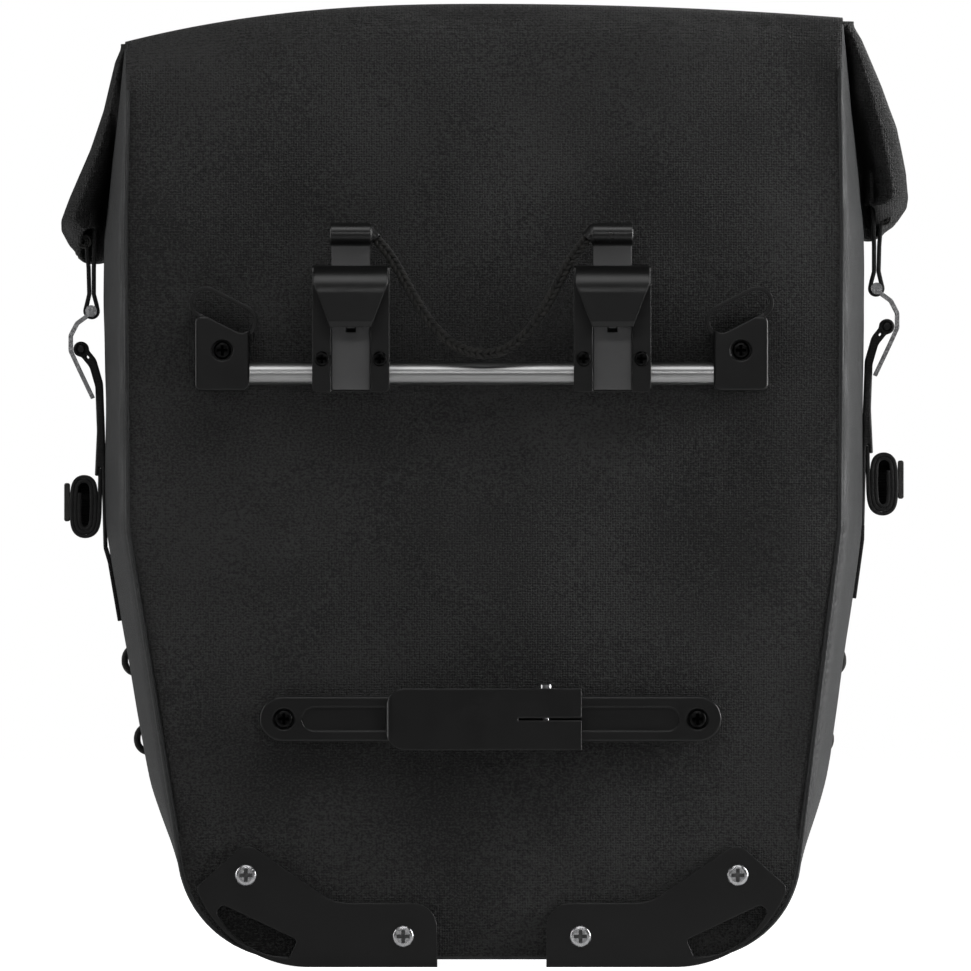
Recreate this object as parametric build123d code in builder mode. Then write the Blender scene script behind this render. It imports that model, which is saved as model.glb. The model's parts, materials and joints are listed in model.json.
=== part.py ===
"""Roll-top pannier bag with rail-mounted rack hooks. Millimetres.

Frame: +Z up, the rack side of the bag faces -Y, +X is to the right for someone looking at the rack side.
The origin is the centre of the footprint, on the surface that the bag stands on.
"""

import os
from math import cos, pi, radians, sin, tan

from build123d import *

# ---------------------------------------------------------------- driving dimensions
BACK_Y = -61.4              # outer face of the back panel
BODY_DEPTH = 153.0          # back panel to front panel
WALL = 1.5                  # welded coated fabric
BASE_Z = 3.5                # underside of the fabric, above the corner guards' skids
TOP_Z = 422.0               # fold of the back panel over the closure
FAR = 260.0                 # clear of the bag on every side
BASE_HALF = 131.0           # half widths of the back panel
WAIST_HALF, WAIST_Z = 157.5, 192.0
SHOULDER_HALF, SHOULDER_Z = 158.5, 325.0
TOP_HALF = 157.0
CORNER_R = 48.0             # bottom corners
SIDE_BULGE = 6.5            # how far the gusset stands out past the back seam
CREST_DEPTH, CREST_R = 26.0, 18.0       # top fold
SLOPE_DEPTH, SLOPE_Z = 84.0, 352.0      # end of the slope that the rolled closure lies on
FRONT_TOP_Z, SLOPE_R = 232.0, 80.0      # where the front panel becomes vertical

ROLL_LENGTH = 309.0         # rolled closure
ROLL_HEIGHT, ROLL_THICK = 46.0, 21.0
ROLL_DEPTH, ROLL_Z, ROLL_TILT = 62.5, 400.5, -49.0
STRIP_HEIGHT, STRIP_THICK = 26.0, 1.6

RAIL_X, RAIL_Z = -1.0, 261.0            # middle of the upper rail
RAIL_OUT = 7.0              # rail axis, out from the back panel
RAIL_R, RAIL_BORE_R = 4.85, 3.6
RAIL_LENGTH = 244.0
FIT = 0.05                  # radial clearance of a running fit

BRACKET_X = 114.0           # bracket centres, from the middle of the rail
BRACKET_WIDTH = 24.0
BRACKET_LOW, BRACKET_HIGH = 253.5, 286.5
BRACKET_OUT = 13.5
BRACKET_SCREW_Z = 271.4
EYE_Z, EYE_TILT = 288.3, -27.0          # shoulder strap eye
EYE_LENGTH, EYE_HEIGHT, EYE_RIM, EYE_THICK = 32.0, 14.4, 1.9, 7.5

HOOK_X = 57.5               # hook centres, from the middle of the rail
HOOK_WIDTH = 34.0
HOOK_LOW, HOOK_TOP, HOOK_BACK = 253.0, 308.5, 4.5
CLAMP_TOP = 272.0           # top of the rear clamp plate
CHEEK_OUT = 16.8            # front face of the housing's cheeks
THROAT_R = 8.2              # throat for a 16 mm rack tube
THROAT_OUT, THROAT_Z = 25.0, 295.2
NOSE_OUT, NOSE_LOW = 37.5, 281.5
NOSE_LOW_HALF, NOSE_HIGH_HALF = 9.0, 16.2
CLAMP_SCREW_X, CLAMP_SCREW_Z, CLAMP_SCREW_R = 12.7, 267.6, 1.5

SLIDE_WIDTH, SLIDE_LOW = 17.0, 254.0    # latch slide
SLIDE_BACK, SLIDE_FRONT = 12.15, 13.75
BARREL_OUT, BARREL_Z, BARREL_R, BARREL_LENGTH = 13.8, 322.3, 4.9, 18.3
LATCH_TRAVEL = 5.0
GAP = 0.2                   # clearance round the slide
SPRING_OUT, SPRING_LOW, SPRING_HIGH, SPRING_R, SPRING_WIRE = 9.6, 290.9, 302.8, 1.7, 0.5
SPRING_PITCH = 1.7

PAWL_OUT, PAWL_Z = 15.3, 284.2          # latch pawl pivot
PAWL_SWEEP = 84.0           # degrees that the pawl turns over the slide's travel
PAWL_REACH, PAWL_THICK, PAWL_WIDTH = 15.0, 2.6, 14.0
PAWL_PIN_R = 0.8
CRANK_R = LATCH_TRAVEL / (2 * sin(radians(PAWL_SWEEP / 2)))
CRANK_THICK, CRANK_WIDTH = 1.4, 3.6

CORD_R, CORD_OUT = 2.4, 13.8            # release cord
CORD_ROUTE = [              # X from the middle of the rail, and Z, from one slide to the other
    (-46.4, 320.4),
    (-40.6, 313.8),
    (-36.4, 306.6),
    (-32.0, 298.6),
    (-26.6, 289.0),
    (-19.6, 279.6),
    (-10.4, 272.2),
    (0.9, 268.9),
    (12.0, 271.8),
    (20.6, 279.4),
    (27.2, 288.8),
    (32.4, 298.4),
    (36.6, 306.7),
    (40.7, 313.8),
    (46.4, 320.4),
]

LOWER_X, LOWER_Z = 3.0, 109.2           # middle of the lower rail
LOWER_LENGTH, LOWER_HEIGHT, LOWER_OUT = 203.0, 20.0, 8.0
LOWER_FOOT_HEIGHT, LOWER_FOOT_OUT = 14.0, 2.6
CHANNEL_LENGTH, CHANNEL_HEIGHT, CHANNEL_DEEP = 166.0, 10.6, 3.0
LOWER_SCREW_X = 91.0
ARM_LEFT, ARM_RIGHT = -43.0, 43.0       # lower hook
CLAMP_LEFT = 15.0
ARM_HEIGHT, ARM_THICK = 27.0, 4.6
ARM_MOUTH_OUT = 22.6        # inner face of the arm at its open end
ARM_CLAMP_OUT = 15.6
PINCH_X, PINCH_OUT, PINCH_R = 27.3, 12.0, 1.5
NUT_R, NUT_HIGH = 2.9, 2.2              # pinch nut, sunk into the arm
ARM_END_R = 8.5             # rounding of the arm's open end

GUARD_X = 3.5               # middle between the two corner guards
GUARD_THICK, GUARD_WRAP = 3.0, 26.0
GUARD_BEND = 80.0           # start of the outer curve, from the middle
GUARD_LOBE = (130.3, 35.0)
GUARD_APEX = (108.3, 54.6)
GUARD_SCREWS = [(108.2, 40.5), (39.0, 13.6)]

PLATE_THICK = 2.5           # stiffener plate inside the back panel
SCREW_R = 2.5               # M5
SINK_R = 4.75

SIDES = {"left": -1, "right": 1}
SIDE_LIFT = {"left": 0.0, "right": 10.0}    # the closure is pulled higher on the right
EAR_HINGE_X, EAR_HINGE_Z, EAR_HINGE_R = 160.0, 400.0, 5.0
EAR_SECTIONS = [            # height, inner and outer distance from the middle, near and far depth
    (398.0, 160.4, 165.0, 52.0, 84.0),
    (370.0, 163.4, 170.4, 47.0, 88.0),
    (346.0, 166.4, 180.0, 43.0, 92.0),
    (327.0, 168.0, 188.0, 40.0, 96.0),
    (310.0, 168.6, 179.0, 43.0, 93.0),
]
WEB_DEPTH, WEB_WIDTH, WEB_THICK = 68.0, 20.0, 1.7       # side webbing
BAR_X, BAR_Z, BAR_R = 173.6, 289.0, 1.7                 # top bar of the clip hook
ROD_X, ROD_Z, ROD_R = 178.2, 272.2, 1.7                 # bar in the side strap's loop
CLIP_WIDTH, CLIP_THICK, CLIP_RAIL = 30.0, 1.6, 4.2
CLIP_SHAPE = [(174.8, 287.4), (180.0, 283.6), (182.8, 278.2), (182.8, 271.4), (179.4, 264.0), (173.0, 250.5)]
STRAP_FOOT_X, STRAP_FOOT_Z = 167.0, 184.0
TAIL_X, TAIL_Z, TAIL_WIDE, TAIL_HIGH = 176.2, 203.0, 14.0, 28.6     # rolled strap tail

FRONT_Y = BACK_Y + BODY_DEPTH
BUNGEE_R = 1.6
BUNGEE_Y = FRONT_Y + BUNGEE_R + 0.3
BUNGEE_HIGH = (153.5, 134.0)            # where the side loops leave the front panel
BUNGEE_LOW = (148.0, 99.0)
LOOP_REACH = 6.5            # how far the loops stand out past that
TAB_INSET, TAB_WIDTH, TAB_OUT = 15.0, 9.0, 4.6          # strips sewn over the bungee
LOCK_Z = 196.0


def out(distance):
    """Y of a point this far out from the back panel, towards the rack."""
    return BACK_Y - distance


def inward(depth):
    """Y of a point this far into the bag from the back panel."""
    return BACK_Y + depth


def face_plane(y):
    """Plane of the back view at this Y. Local x is X, local y is Z, and extrusion runs towards the rack."""
    return Plane.XZ.offset(-y)


def side_plane(x):
    """Plane of the side view at this X. Local x is Y, local y is Z, and extrusion runs to the right."""
    return Plane.YZ.offset(x)


def write(shape, name):
    """Label one finished piece and write it."""
    shape.label = name
    export_step(shape, f"parts/{name}.step")


def write_group(shapes, name):
    """Write identical pieces as one node of separate solids."""
    write(Compound(children=shapes), name)


# ---------------------------------------------------------------- bag shell
def outline(y, bulge, shrink):
    """Back-view outline of the bag at this Y."""
    with BuildSketch(face_plane(y)) as face:
        with BuildLine():
            Polyline(
                (-(BASE_HALF + 0.6 * bulge), BASE_Z),
                (BASE_HALF + 0.6 * bulge, BASE_Z),
                (WAIST_HALF + bulge, WAIST_Z),
                (SHOULDER_HALF + bulge, SHOULDER_Z),
                (TOP_HALF, TOP_Z + 20),
                (-TOP_HALF, TOP_Z + 20),
                (-(SHOULDER_HALF + bulge), SHOULDER_Z),
                (-(WAIST_HALF + bulge), WAIST_Z),
                close=True,
            )
        make_face()
        fillet(face.vertices().group_by(Axis.Y)[0], radius=CORNER_R)
        if shrink:
            offset(amount=-shrink)
    return face.sketch


def lofted_body(shrink):
    """Body whose sides bulge between the back and the front seams."""
    sections = [
        outline(BACK_Y, 0.0, shrink),
        outline(inward(BODY_DEPTH * 0.45), SIDE_BULGE, shrink),
        outline(FRONT_Y, -1.0, shrink),
    ]
    with BuildPart() as body:
        loft(sections=sections)
    return body.part


def profile_block(shrink):
    """Side-view outline of the bag, as a block wider than the bag."""
    with BuildPart() as block:
        with BuildSketch(side_plane(-FAR)):
            with BuildLine():
                FilletPolyline(
                    (BACK_Y, -FAR),
                    (BACK_Y, TOP_Z),
                    (inward(CREST_DEPTH), TOP_Z),
                    (inward(SLOPE_DEPTH), SLOPE_Z),
                    (FRONT_Y, FRONT_TOP_Z),
                    (FRONT_Y, -FAR),
                    radius=[CREST_R, CREST_R * 0.4, SLOPE_R, SLOPE_R],
                )
                Line((FRONT_Y, -FAR), (BACK_Y, -FAR))
            make_face()
            if shrink:
                offset(amount=-shrink)
        extrude(amount=2 * FAR)
    return block.part


def panel_holes():
    """Centres of every screw that goes through the back panel."""
    centres = [(RAIL_X + side * BRACKET_X, BRACKET_SCREW_Z) for side in SIDES.values()]
    centres += [(LOWER_X + side * LOWER_SCREW_X, LOWER_Z) for side in SIDES.values()]
    for side in SIDES.values():
        centres += [(GUARD_X + side * u, z) for u, z in GUARD_SCREWS]
    return centres


def bag_panels(body):
    """Back panel, front panel and gusset, cut from the skin of the body."""
    core = lofted_body(WALL)
    block = profile_block(0.0)
    inside = profile_block(WALL)
    with BuildPart() as strip:
        add(body)
        add(block, mode=Mode.INTERSECT)
        add(inside, mode=Mode.SUBTRACT)
    with BuildPart() as gusset:
        add(body)
        add(inside, mode=Mode.INTERSECT)
        add(core, mode=Mode.SUBTRACT)
    seam = Plane.XZ.offset(-inward(CREST_DEPTH + 6.0))
    with BuildPart() as back:
        add(strip.part)
        split(bisect_by=seam, keep=Keep.TOP)
        with BuildSketch(face_plane(BACK_Y)):
            with Locations(*panel_holes()):
                Circle(SCREW_R + 0.1)
        extrude(amount=-2 * WALL, mode=Mode.SUBTRACT)
    with BuildPart() as front:
        add(strip.part)
        split(bisect_by=seam, keep=Keep.BOTTOM)
    write(back.part, "back_panel")
    write(front.part, "front_panel")
    write(gusset.part, "side_gusset")


def stiffener_plate():
    """Hard plate inside the back panel, which carries every screw."""
    inset = 9.0
    with BuildPart() as plate:
        with BuildSketch(face_plane(inward(WALL))) as sheet:
            with BuildLine():
                Polyline(
                    (-(BASE_HALF - inset), BASE_Z + WALL + 1),
                    (BASE_HALF - inset, BASE_Z + WALL + 1),
                    (WAIST_HALF - inset, WAIST_Z),
                    (WAIST_HALF - inset, TOP_Z - 46),
                    (-(WAIST_HALF - inset), TOP_Z - 46),
                    (-(WAIST_HALF - inset), WAIST_Z),
                    close=True,
                )
            make_face()
            fillet(sheet.vertices().group_by(Axis.Y)[0], radius=CORNER_R - 4)
            fillet(sheet.vertices().group_by(Axis.Y)[-1], radius=16)
            with Locations(*panel_holes()):
                Circle(SCREW_R + 0.1, mode=Mode.SUBTRACT)
        extrude(amount=-PLATE_THICK)
    write(plate.part, "stiffener_plate")


def rolled_closure():
    """Mouth of the bag, rolled up round its stiffener strip."""
    centre = (inward(ROLL_DEPTH), ROLL_Z)
    with BuildPart() as roll:
        with BuildSketch(side_plane(-ROLL_LENGTH / 2)):
            with Locations(Location(centre, ROLL_TILT)):
                SlotOverall(ROLL_HEIGHT, ROLL_THICK)
                Rectangle(STRIP_HEIGHT + 0.2, STRIP_THICK + 0.2, mode=Mode.SUBTRACT)
        extrude(amount=ROLL_LENGTH)
    with BuildPart() as strip:
        with BuildSketch(side_plane(-ROLL_LENGTH / 2 + 4)):
            with Locations(Location(centre, ROLL_TILT)):
                Rectangle(STRIP_HEIGHT, STRIP_THICK)
        extrude(amount=ROLL_LENGTH - 8)
    write(roll.part, "roll_closure")
    write(strip.part, "roll_stiffener")


# ---------------------------------------------------------------- fasteners
def cross_screw(x, z, seat, head_r, head_high, shank_r, shank_long):
    """Pan-head screw along Y with a cross recess. The underside of its head is this far out."""
    with BuildPart() as screw:
        with BuildSketch(face_plane(out(seat))):
            with Locations((x, z)):
                Circle(head_r)
        extrude(amount=head_high)
        fillet(screw.faces().sort_by(Axis.Y)[0].edges(), radius=head_high * 0.6)
        with BuildSketch(face_plane(out(seat + head_high))):
            with Locations((x, z)):
                Rectangle(head_r * 1.2, head_r * 0.34)
                Rectangle(head_r * 0.34, head_r * 1.2)
        extrude(amount=-head_high * 0.6, mode=Mode.SUBTRACT)
        with BuildSketch(face_plane(out(seat))):
            with Locations((x, z)):
                Circle(shank_r)
        extrude(amount=-shank_long)
    return screw.part


def panel_screws():
    """M5 screws of the brackets, the lower rail and the guards, through the panel and the plate."""
    through = WALL + PLATE_THICK + 5.0
    groups = {
        "bracket_screws": (panel_holes()[0:2], BRACKET_OUT - 3.2, 3.9),
        "lower_rail_screws": (panel_holes()[2:4], LOWER_OUT - 2.2, 4.1),
        "guard_screws": (panel_holes()[4:], GUARD_THICK, 4.8),
    }
    for name, (places, seat, head_r) in groups.items():
        screws = [cross_screw(x, z, seat, head_r, 2.6, SCREW_R, seat + through) for x, z in places]
        write_group(screws, name)


def inner_nuts():
    """Wide flanged nuts inside the stiffener plate, one behind each screw."""
    nuts = []
    for x, z in panel_holes():
        with BuildPart() as nut:
            with BuildSketch(face_plane(inward(WALL + PLATE_THICK))):
                with Locations((x, z)):
                    Circle(7.5)
            extrude(amount=-1.4)
            with BuildSketch(face_plane(inward(WALL + PLATE_THICK + 1.4))):
                with Locations((x, z)):
                    RegularPolygon(4.6, 6)
            extrude(amount=-3.2)
            with BuildSketch(face_plane(inward(WALL + PLATE_THICK))):
                with Locations((x, z)):
                    Circle(SCREW_R + FIT)
            extrude(amount=-5.0, mode=Mode.SUBTRACT)
        nuts.append(nut.part)
    write_group(nuts, "inner_nuts")


# ---------------------------------------------------------------- upper rail
def upper_rail():
    """Round tube that the hooks are clamped to."""
    with BuildPart() as rail:
        with BuildSketch(side_plane(RAIL_X - RAIL_LENGTH / 2)):
            with Locations((out(RAIL_OUT), RAIL_Z)):
                Circle(RAIL_R)
                Circle(RAIL_BORE_R, mode=Mode.SUBTRACT)
        extrude(amount=RAIL_LENGTH)
    write(rail.part, "upper_rail")


def rail_bracket(name, side):
    """Moulded end bracket of the upper rail, with an eye for the shoulder strap."""
    x = RAIL_X + side * BRACKET_X
    high = BRACKET_HIGH - BRACKET_LOW
    with BuildPart() as bracket:
        with BuildSketch(face_plane(BACK_Y)):
            with Locations((x, BRACKET_LOW + high / 2)):
                RectangleRounded(BRACKET_WIDTH, high, 3.0)
        extrude(amount=BRACKET_OUT)
        fillet(bracket.faces().sort_by(Axis.Y)[0].edges(), radius=1.2)
        with BuildSketch(face_plane(out(4.0))):
            with Locations(Location((x - side * 0.6, EYE_Z), -side * EYE_TILT)):
                SlotOverall(EYE_LENGTH, EYE_HEIGHT)
        extrude(amount=EYE_THICK)
        with BuildSketch(face_plane(BACK_Y)):
            with Locations(Location((x - side * 0.6, EYE_Z), -side * EYE_TILT)):
                SlotOverall(EYE_LENGTH - 2 * EYE_RIM, EYE_HEIGHT - 2 * EYE_RIM)
        extrude(amount=BRACKET_OUT + 1, mode=Mode.SUBTRACT)
        with BuildSketch(side_plane(RAIL_X - RAIL_LENGTH / 2)):
            with Locations((out(RAIL_OUT), RAIL_Z)):
                Circle(RAIL_R)
        extrude(amount=RAIL_LENGTH, mode=Mode.SUBTRACT)
        with BuildSketch(face_plane(BACK_Y)):
            with Locations((x, BRACKET_SCREW_Z)):
                Circle(SCREW_R + 0.1)
        extrude(amount=BRACKET_OUT + 1, mode=Mode.SUBTRACT)
        with BuildSketch(face_plane(out(BRACKET_OUT))):
            with Locations((x, BRACKET_SCREW_Z)):
                Circle(SINK_R)
        extrude(amount=-3.2, mode=Mode.SUBTRACT)
    write(bracket.part, name)


# ---------------------------------------------------------------- rack hooks
def hook_arm(x):
    """Arch over the rack tube and tapered nose in front of it."""
    inner = THROAT_OUT + THROAT_R
    with BuildPart() as arm:
        with BuildSketch(side_plane(x - HOOK_WIDTH / 2)):
            with BuildLine():
                Line((out(CHEEK_OUT - 3), THROAT_Z), (out(CHEEK_OUT), THROAT_Z))
                ThreePointArc(
                    (out(CHEEK_OUT), THROAT_Z),
                    (out(THROAT_OUT), THROAT_Z + THROAT_R),
                    (out(inner), THROAT_Z),
                )
                Polyline(
                    (out(inner), THROAT_Z),
                    (out(inner + 1.0), NOSE_LOW),
                    (out(NOSE_OUT - 1.4), NOSE_LOW),
                    (out(NOSE_OUT), NOSE_LOW + 2.4),
                    (out(NOSE_OUT), THROAT_Z + 1.5),
                )
                ThreePointArc(
                    (out(NOSE_OUT), THROAT_Z + 1.5),
                    (out(NOSE_OUT - 3.8), HOOK_TOP - 3.4),
                    (out(NOSE_OUT - 12.5), HOOK_TOP),
                )
                Polyline(
                    (out(NOSE_OUT - 12.5), HOOK_TOP),
                    (out(CHEEK_OUT - 3), HOOK_TOP),
                    (out(CHEEK_OUT - 3), THROAT_Z),
                )
            make_face()
        extrude(amount=HOOK_WIDTH)
        with BuildSketch(face_plane(BACK_Y)):
            with BuildLine():
                Polyline(
                    (x - NOSE_LOW_HALF, NOSE_LOW),
                    (x + NOSE_LOW_HALF, NOSE_LOW),
                    (x + NOSE_HIGH_HALF, HOOK_TOP - 8),
                    (x + NOSE_HIGH_HALF, HOOK_TOP),
                    (x - NOSE_HIGH_HALF, HOOK_TOP),
                    (x - NOSE_HIGH_HALF, HOOK_TOP - 8),
                    close=True,
                )
            make_face()
        extrude(amount=NOSE_OUT, mode=Mode.INTERSECT)
    return arm.part


def hook_body(name, x):
    """Moulded housing: two cheeks with the slide's channel between them, and the arm."""
    arm = hook_arm(x)
    with BuildPart() as hook:
        with BuildSketch(side_plane(x - HOOK_WIDTH / 2)) as section:
            with BuildLine():
                Polyline(
                    (out(RAIL_OUT), HOOK_LOW),
                    (out(CHEEK_OUT), HOOK_LOW),
                    (out(CHEEK_OUT), HOOK_TOP),
                    (out(HOOK_BACK), HOOK_TOP),
                    (out(HOOK_BACK), CLAMP_TOP),
                    (out(RAIL_OUT), CLAMP_TOP),
                    close=True,
                )
            make_face()
            fillet(section.vertices().group_by(Axis.Y)[-1], radius=2.5)
        extrude(amount=HOOK_WIDTH)
        add(arm)
        with BuildSketch(Plane.XY.offset(HOOK_LOW - 1)):
            with Locations((x, out((SLIDE_BACK + SLIDE_FRONT) / 2))):
                Rectangle(SLIDE_WIDTH + 2 * GAP, SLIDE_FRONT - SLIDE_BACK + 2 * GAP)
        extrude(amount=HOOK_TOP - HOOK_LOW + 2, mode=Mode.SUBTRACT)
        with BuildSketch(Plane.XY.offset(HOOK_LOW - 1)):
            with Locations((x, out((SLIDE_FRONT + CHEEK_OUT) / 2))):
                Rectangle(SLIDE_WIDTH + 2 * GAP, CHEEK_OUT - SLIDE_FRONT)
        extrude(amount=THROAT_Z + 5 - HOOK_LOW, mode=Mode.SUBTRACT)
        with BuildSketch(Plane.XY.offset(PAWL_Z - 4.5)):
            with Locations((x, out(SLIDE_BACK - 1))):
                Rectangle(CRANK_WIDTH + 1, 3.0)
        extrude(amount=9.0, mode=Mode.SUBTRACT)
        with BuildSketch(Plane.XY.offset(SPRING_LOW - 2.4)):
            with Locations((x, out(SLIDE_BACK - 2.55))):
                Rectangle(5.0, 5.1)
        extrude(amount=SPRING_HIGH - SPRING_LOW + 2.5, mode=Mode.SUBTRACT)
        with BuildSketch(side_plane(x - HOOK_WIDTH / 2)):
            with Locations((out(RAIL_OUT), RAIL_Z)):
                Circle(RAIL_R + FIT)
        extrude(amount=HOOK_WIDTH, mode=Mode.SUBTRACT)
        with BuildSketch(side_plane(x - 11.5)):
            with Locations((out(PAWL_OUT), PAWL_Z)):
                Circle(PAWL_PIN_R)
        extrude(amount=23.0, mode=Mode.SUBTRACT)
        with BuildSketch(face_plane(BACK_Y)):
            with Locations((x - CLAMP_SCREW_X, CLAMP_SCREW_Z), (x + CLAMP_SCREW_X, CLAMP_SCREW_Z)):
                Circle(CLAMP_SCREW_R + FIT)
        extrude(amount=CHEEK_OUT + 1, mode=Mode.SUBTRACT)
        sides = hook.faces().filter_by(Axis.X).sort_by(Axis.X)
        fillet(sides[0].edges().sort_by(Axis.Z)[0], radius=2.0)
        sides = hook.faces().filter_by(Axis.X).sort_by(Axis.X)
        fillet(sides[-1].edges().sort_by(Axis.Z)[0], radius=2.0)
    write(hook.part, name)


def hook_clamp(name, x):
    """Rear plate that clamps the housing to the rail."""
    with BuildPart() as clamp:
        with BuildSketch(face_plane(out(1.0))):
            with Locations((x, (HOOK_LOW + CLAMP_TOP) / 2)):
                RectangleRounded(HOOK_WIDTH, CLAMP_TOP - HOOK_LOW, 2.0)
        extrude(amount=RAIL_OUT - 1.1)
        with BuildSketch(side_plane(x - HOOK_WIDTH / 2)):
            with Locations((out(RAIL_OUT), RAIL_Z)):
                Circle(RAIL_R + FIT)
        extrude(amount=HOOK_WIDTH, mode=Mode.SUBTRACT)
        with BuildSketch(face_plane(BACK_Y)):
            with Locations((x - CLAMP_SCREW_X, CLAMP_SCREW_Z), (x + CLAMP_SCREW_X, CLAMP_SCREW_Z)):
                Circle(CLAMP_SCREW_R + FIT)
        extrude(amount=CHEEK_OUT, mode=Mode.SUBTRACT)
    write(clamp.part, name)


def clamp_screws(name, x):
    """Two M3 screws that close the clamp."""
    places = [(x + side * CLAMP_SCREW_X, CLAMP_SCREW_Z) for side in SIDES.values()]
    screws = [cross_screw(px, pz, CHEEK_OUT, 3.3, 2.0, CLAMP_SCREW_R, CHEEK_OUT - 1.4) for px, pz in places]
    write_group(screws, name)


def latch_slide(name, x, side):
    """Flat slide with a rolled barrel on top, an eye for the cord and a tab behind for the spring."""
    exit_x = RAIL_X + side * CORD_ROUTE[-1][0]
    next_x = RAIL_X + side * CORD_ROUTE[-2][0]
    mouth = Vector(exit_x, out(CORD_OUT), CORD_ROUTE[-1][1])
    back = (mouth - Vector(next_x, out(CORD_OUT), CORD_ROUTE[-2][1])).normalized()
    with BuildPart() as slide:
        with BuildSketch(face_plane(out(SLIDE_BACK))):
            with Locations((x, (SLIDE_LOW + BARREL_Z) / 2)):
                Rectangle(SLIDE_WIDTH, BARREL_Z - SLIDE_LOW)
            with Locations((x, PAWL_Z - 2.45)):
                Rectangle(CRANK_WIDTH + 0.8, 4.9, mode=Mode.SUBTRACT)
        extrude(amount=SLIDE_FRONT - SLIDE_BACK)
        with BuildSketch(face_plane(out(SLIDE_BACK))):
            with Locations((x, SPRING_LOW - 1.1)):
                Rectangle(4.2, 2.0)
        extrude(amount=-4.6)
        with BuildSketch(side_plane(x - BARREL_LENGTH / 2)):
            with Locations((out(BARREL_OUT), BARREL_Z)):
                Circle(BARREL_R)
        extrude(amount=BARREL_LENGTH)
        for end in (0, -1):
            rim = slide.faces().filter_by(Axis.X).group_by(Axis.X)[end].edges()
            chamfer(rim, 0.5)
        with BuildSketch(Plane(origin=mouth + back * FIT, z_dir=back)):
            Circle(CORD_R + 0.6)
        extrude(amount=6.0)
    write(slide.part, name)


def latch_spring(name, x):
    """Return spring between the slide's tab and the roof of its pocket."""
    low = SPRING_LOW + SPRING_WIRE / 2 + 0.1
    turns = SPRING_HIGH - SPRING_LOW - SPRING_WIRE - 0.3
    with BuildPart() as spring:
        with BuildLine() as wire:
            Helix(SPRING_PITCH, turns, SPRING_R, center=(x, out(SPRING_OUT), low))
        with BuildSketch(Plane(origin=wire.line @ 0, z_dir=wire.line % 0)):
            Circle(SPRING_WIRE / 2)
        sweep(is_frenet=True)
    write(spring.part, name)


def latch_pawl(name, x):
    """Pawl that closes the throat under the rack tube. Its crank sits in the slide's window."""
    with BuildPart() as pawl:
        with BuildSketch(side_plane(x - PAWL_WIDTH / 2)) as tongue:
            with BuildLine():
                Polyline(
                    (out(PAWL_OUT), PAWL_Z - PAWL_THICK / 2),
                    (out(PAWL_OUT + PAWL_REACH - 2), PAWL_Z - PAWL_THICK / 2),
                    (out(PAWL_OUT + PAWL_REACH), PAWL_Z),
                    (out(PAWL_OUT + PAWL_REACH), PAWL_Z + PAWL_THICK / 2),
                    (out(PAWL_OUT), PAWL_Z + PAWL_THICK / 2),
                    close=True,
                )
            make_face()
            with Locations((out(PAWL_OUT), PAWL_Z)):
                Circle(PAWL_THICK / 2)
        extrude(amount=PAWL_WIDTH)
        with BuildSketch(side_plane(x - CRANK_WIDTH / 2)):
            with Locations(Location((out(PAWL_OUT), PAWL_Z), -PAWL_SWEEP / 2)):
                with Locations((CRANK_R / 2, 0)):
                    Rectangle(CRANK_R, CRANK_THICK)
                with Locations((CRANK_R, 0)):
                    Circle(CRANK_THICK / 2)
        extrude(amount=CRANK_WIDTH)
        with BuildSketch(side_plane(x - HOOK_WIDTH / 2)):
            with Locations((out(PAWL_OUT), PAWL_Z)):
                Circle(PAWL_PIN_R + FIT)
        extrude(amount=HOOK_WIDTH, mode=Mode.SUBTRACT)
    with BuildPart() as pin:
        with BuildSketch(side_plane(x - 11.5)):
            with Locations((out(PAWL_OUT), PAWL_Z)):
                Circle(PAWL_PIN_R)
        extrude(amount=23.0)
    write(pawl.part, f"latch_pawl_{name}")
    write(pin.part, f"pawl_pin_{name}")


def release_cord():
    """Braided cord from one slide to the other, of straight runs and tangent arcs."""
    route = [Vector(RAIL_X + x, out(CORD_OUT), z) for x, z in CORD_ROUTE]
    radii = route_radii(route)
    print("release cord radii:", [round(r, 1) for r in radii])
    write(tube(route, radii, CORD_R), "release_cord")


def route_radii(route):
    """Largest arc for each corner: 0.45 of its shorter run, over the tangent of half its turn."""
    radii = []
    for before, corner, after in zip(route, route[1:], route[2:]):
        turn = (corner - before).get_angle(after - corner)
        shorter = min((corner - before).length, (after - corner).length)
        radii.append(0.45 * shorter / tan(radians(turn / 2)))
    return radii


def tube(route, radii, radius):
    """Round cord along a filleted route."""
    with BuildPart() as cord:
        with BuildLine() as path:
            FilletPolyline(*route, radius=radii)
        with BuildSketch(Plane(origin=path.line @ 0, z_dir=path.line % 0)):
            Circle(radius)
        sweep()
    length = path.wire().length
    share = cord.part.volume / (length * pi * radius**2)
    print(f"tube length {length:.1f} mm, volume over section times length {share:.4f}")
    return cord.part


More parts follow.
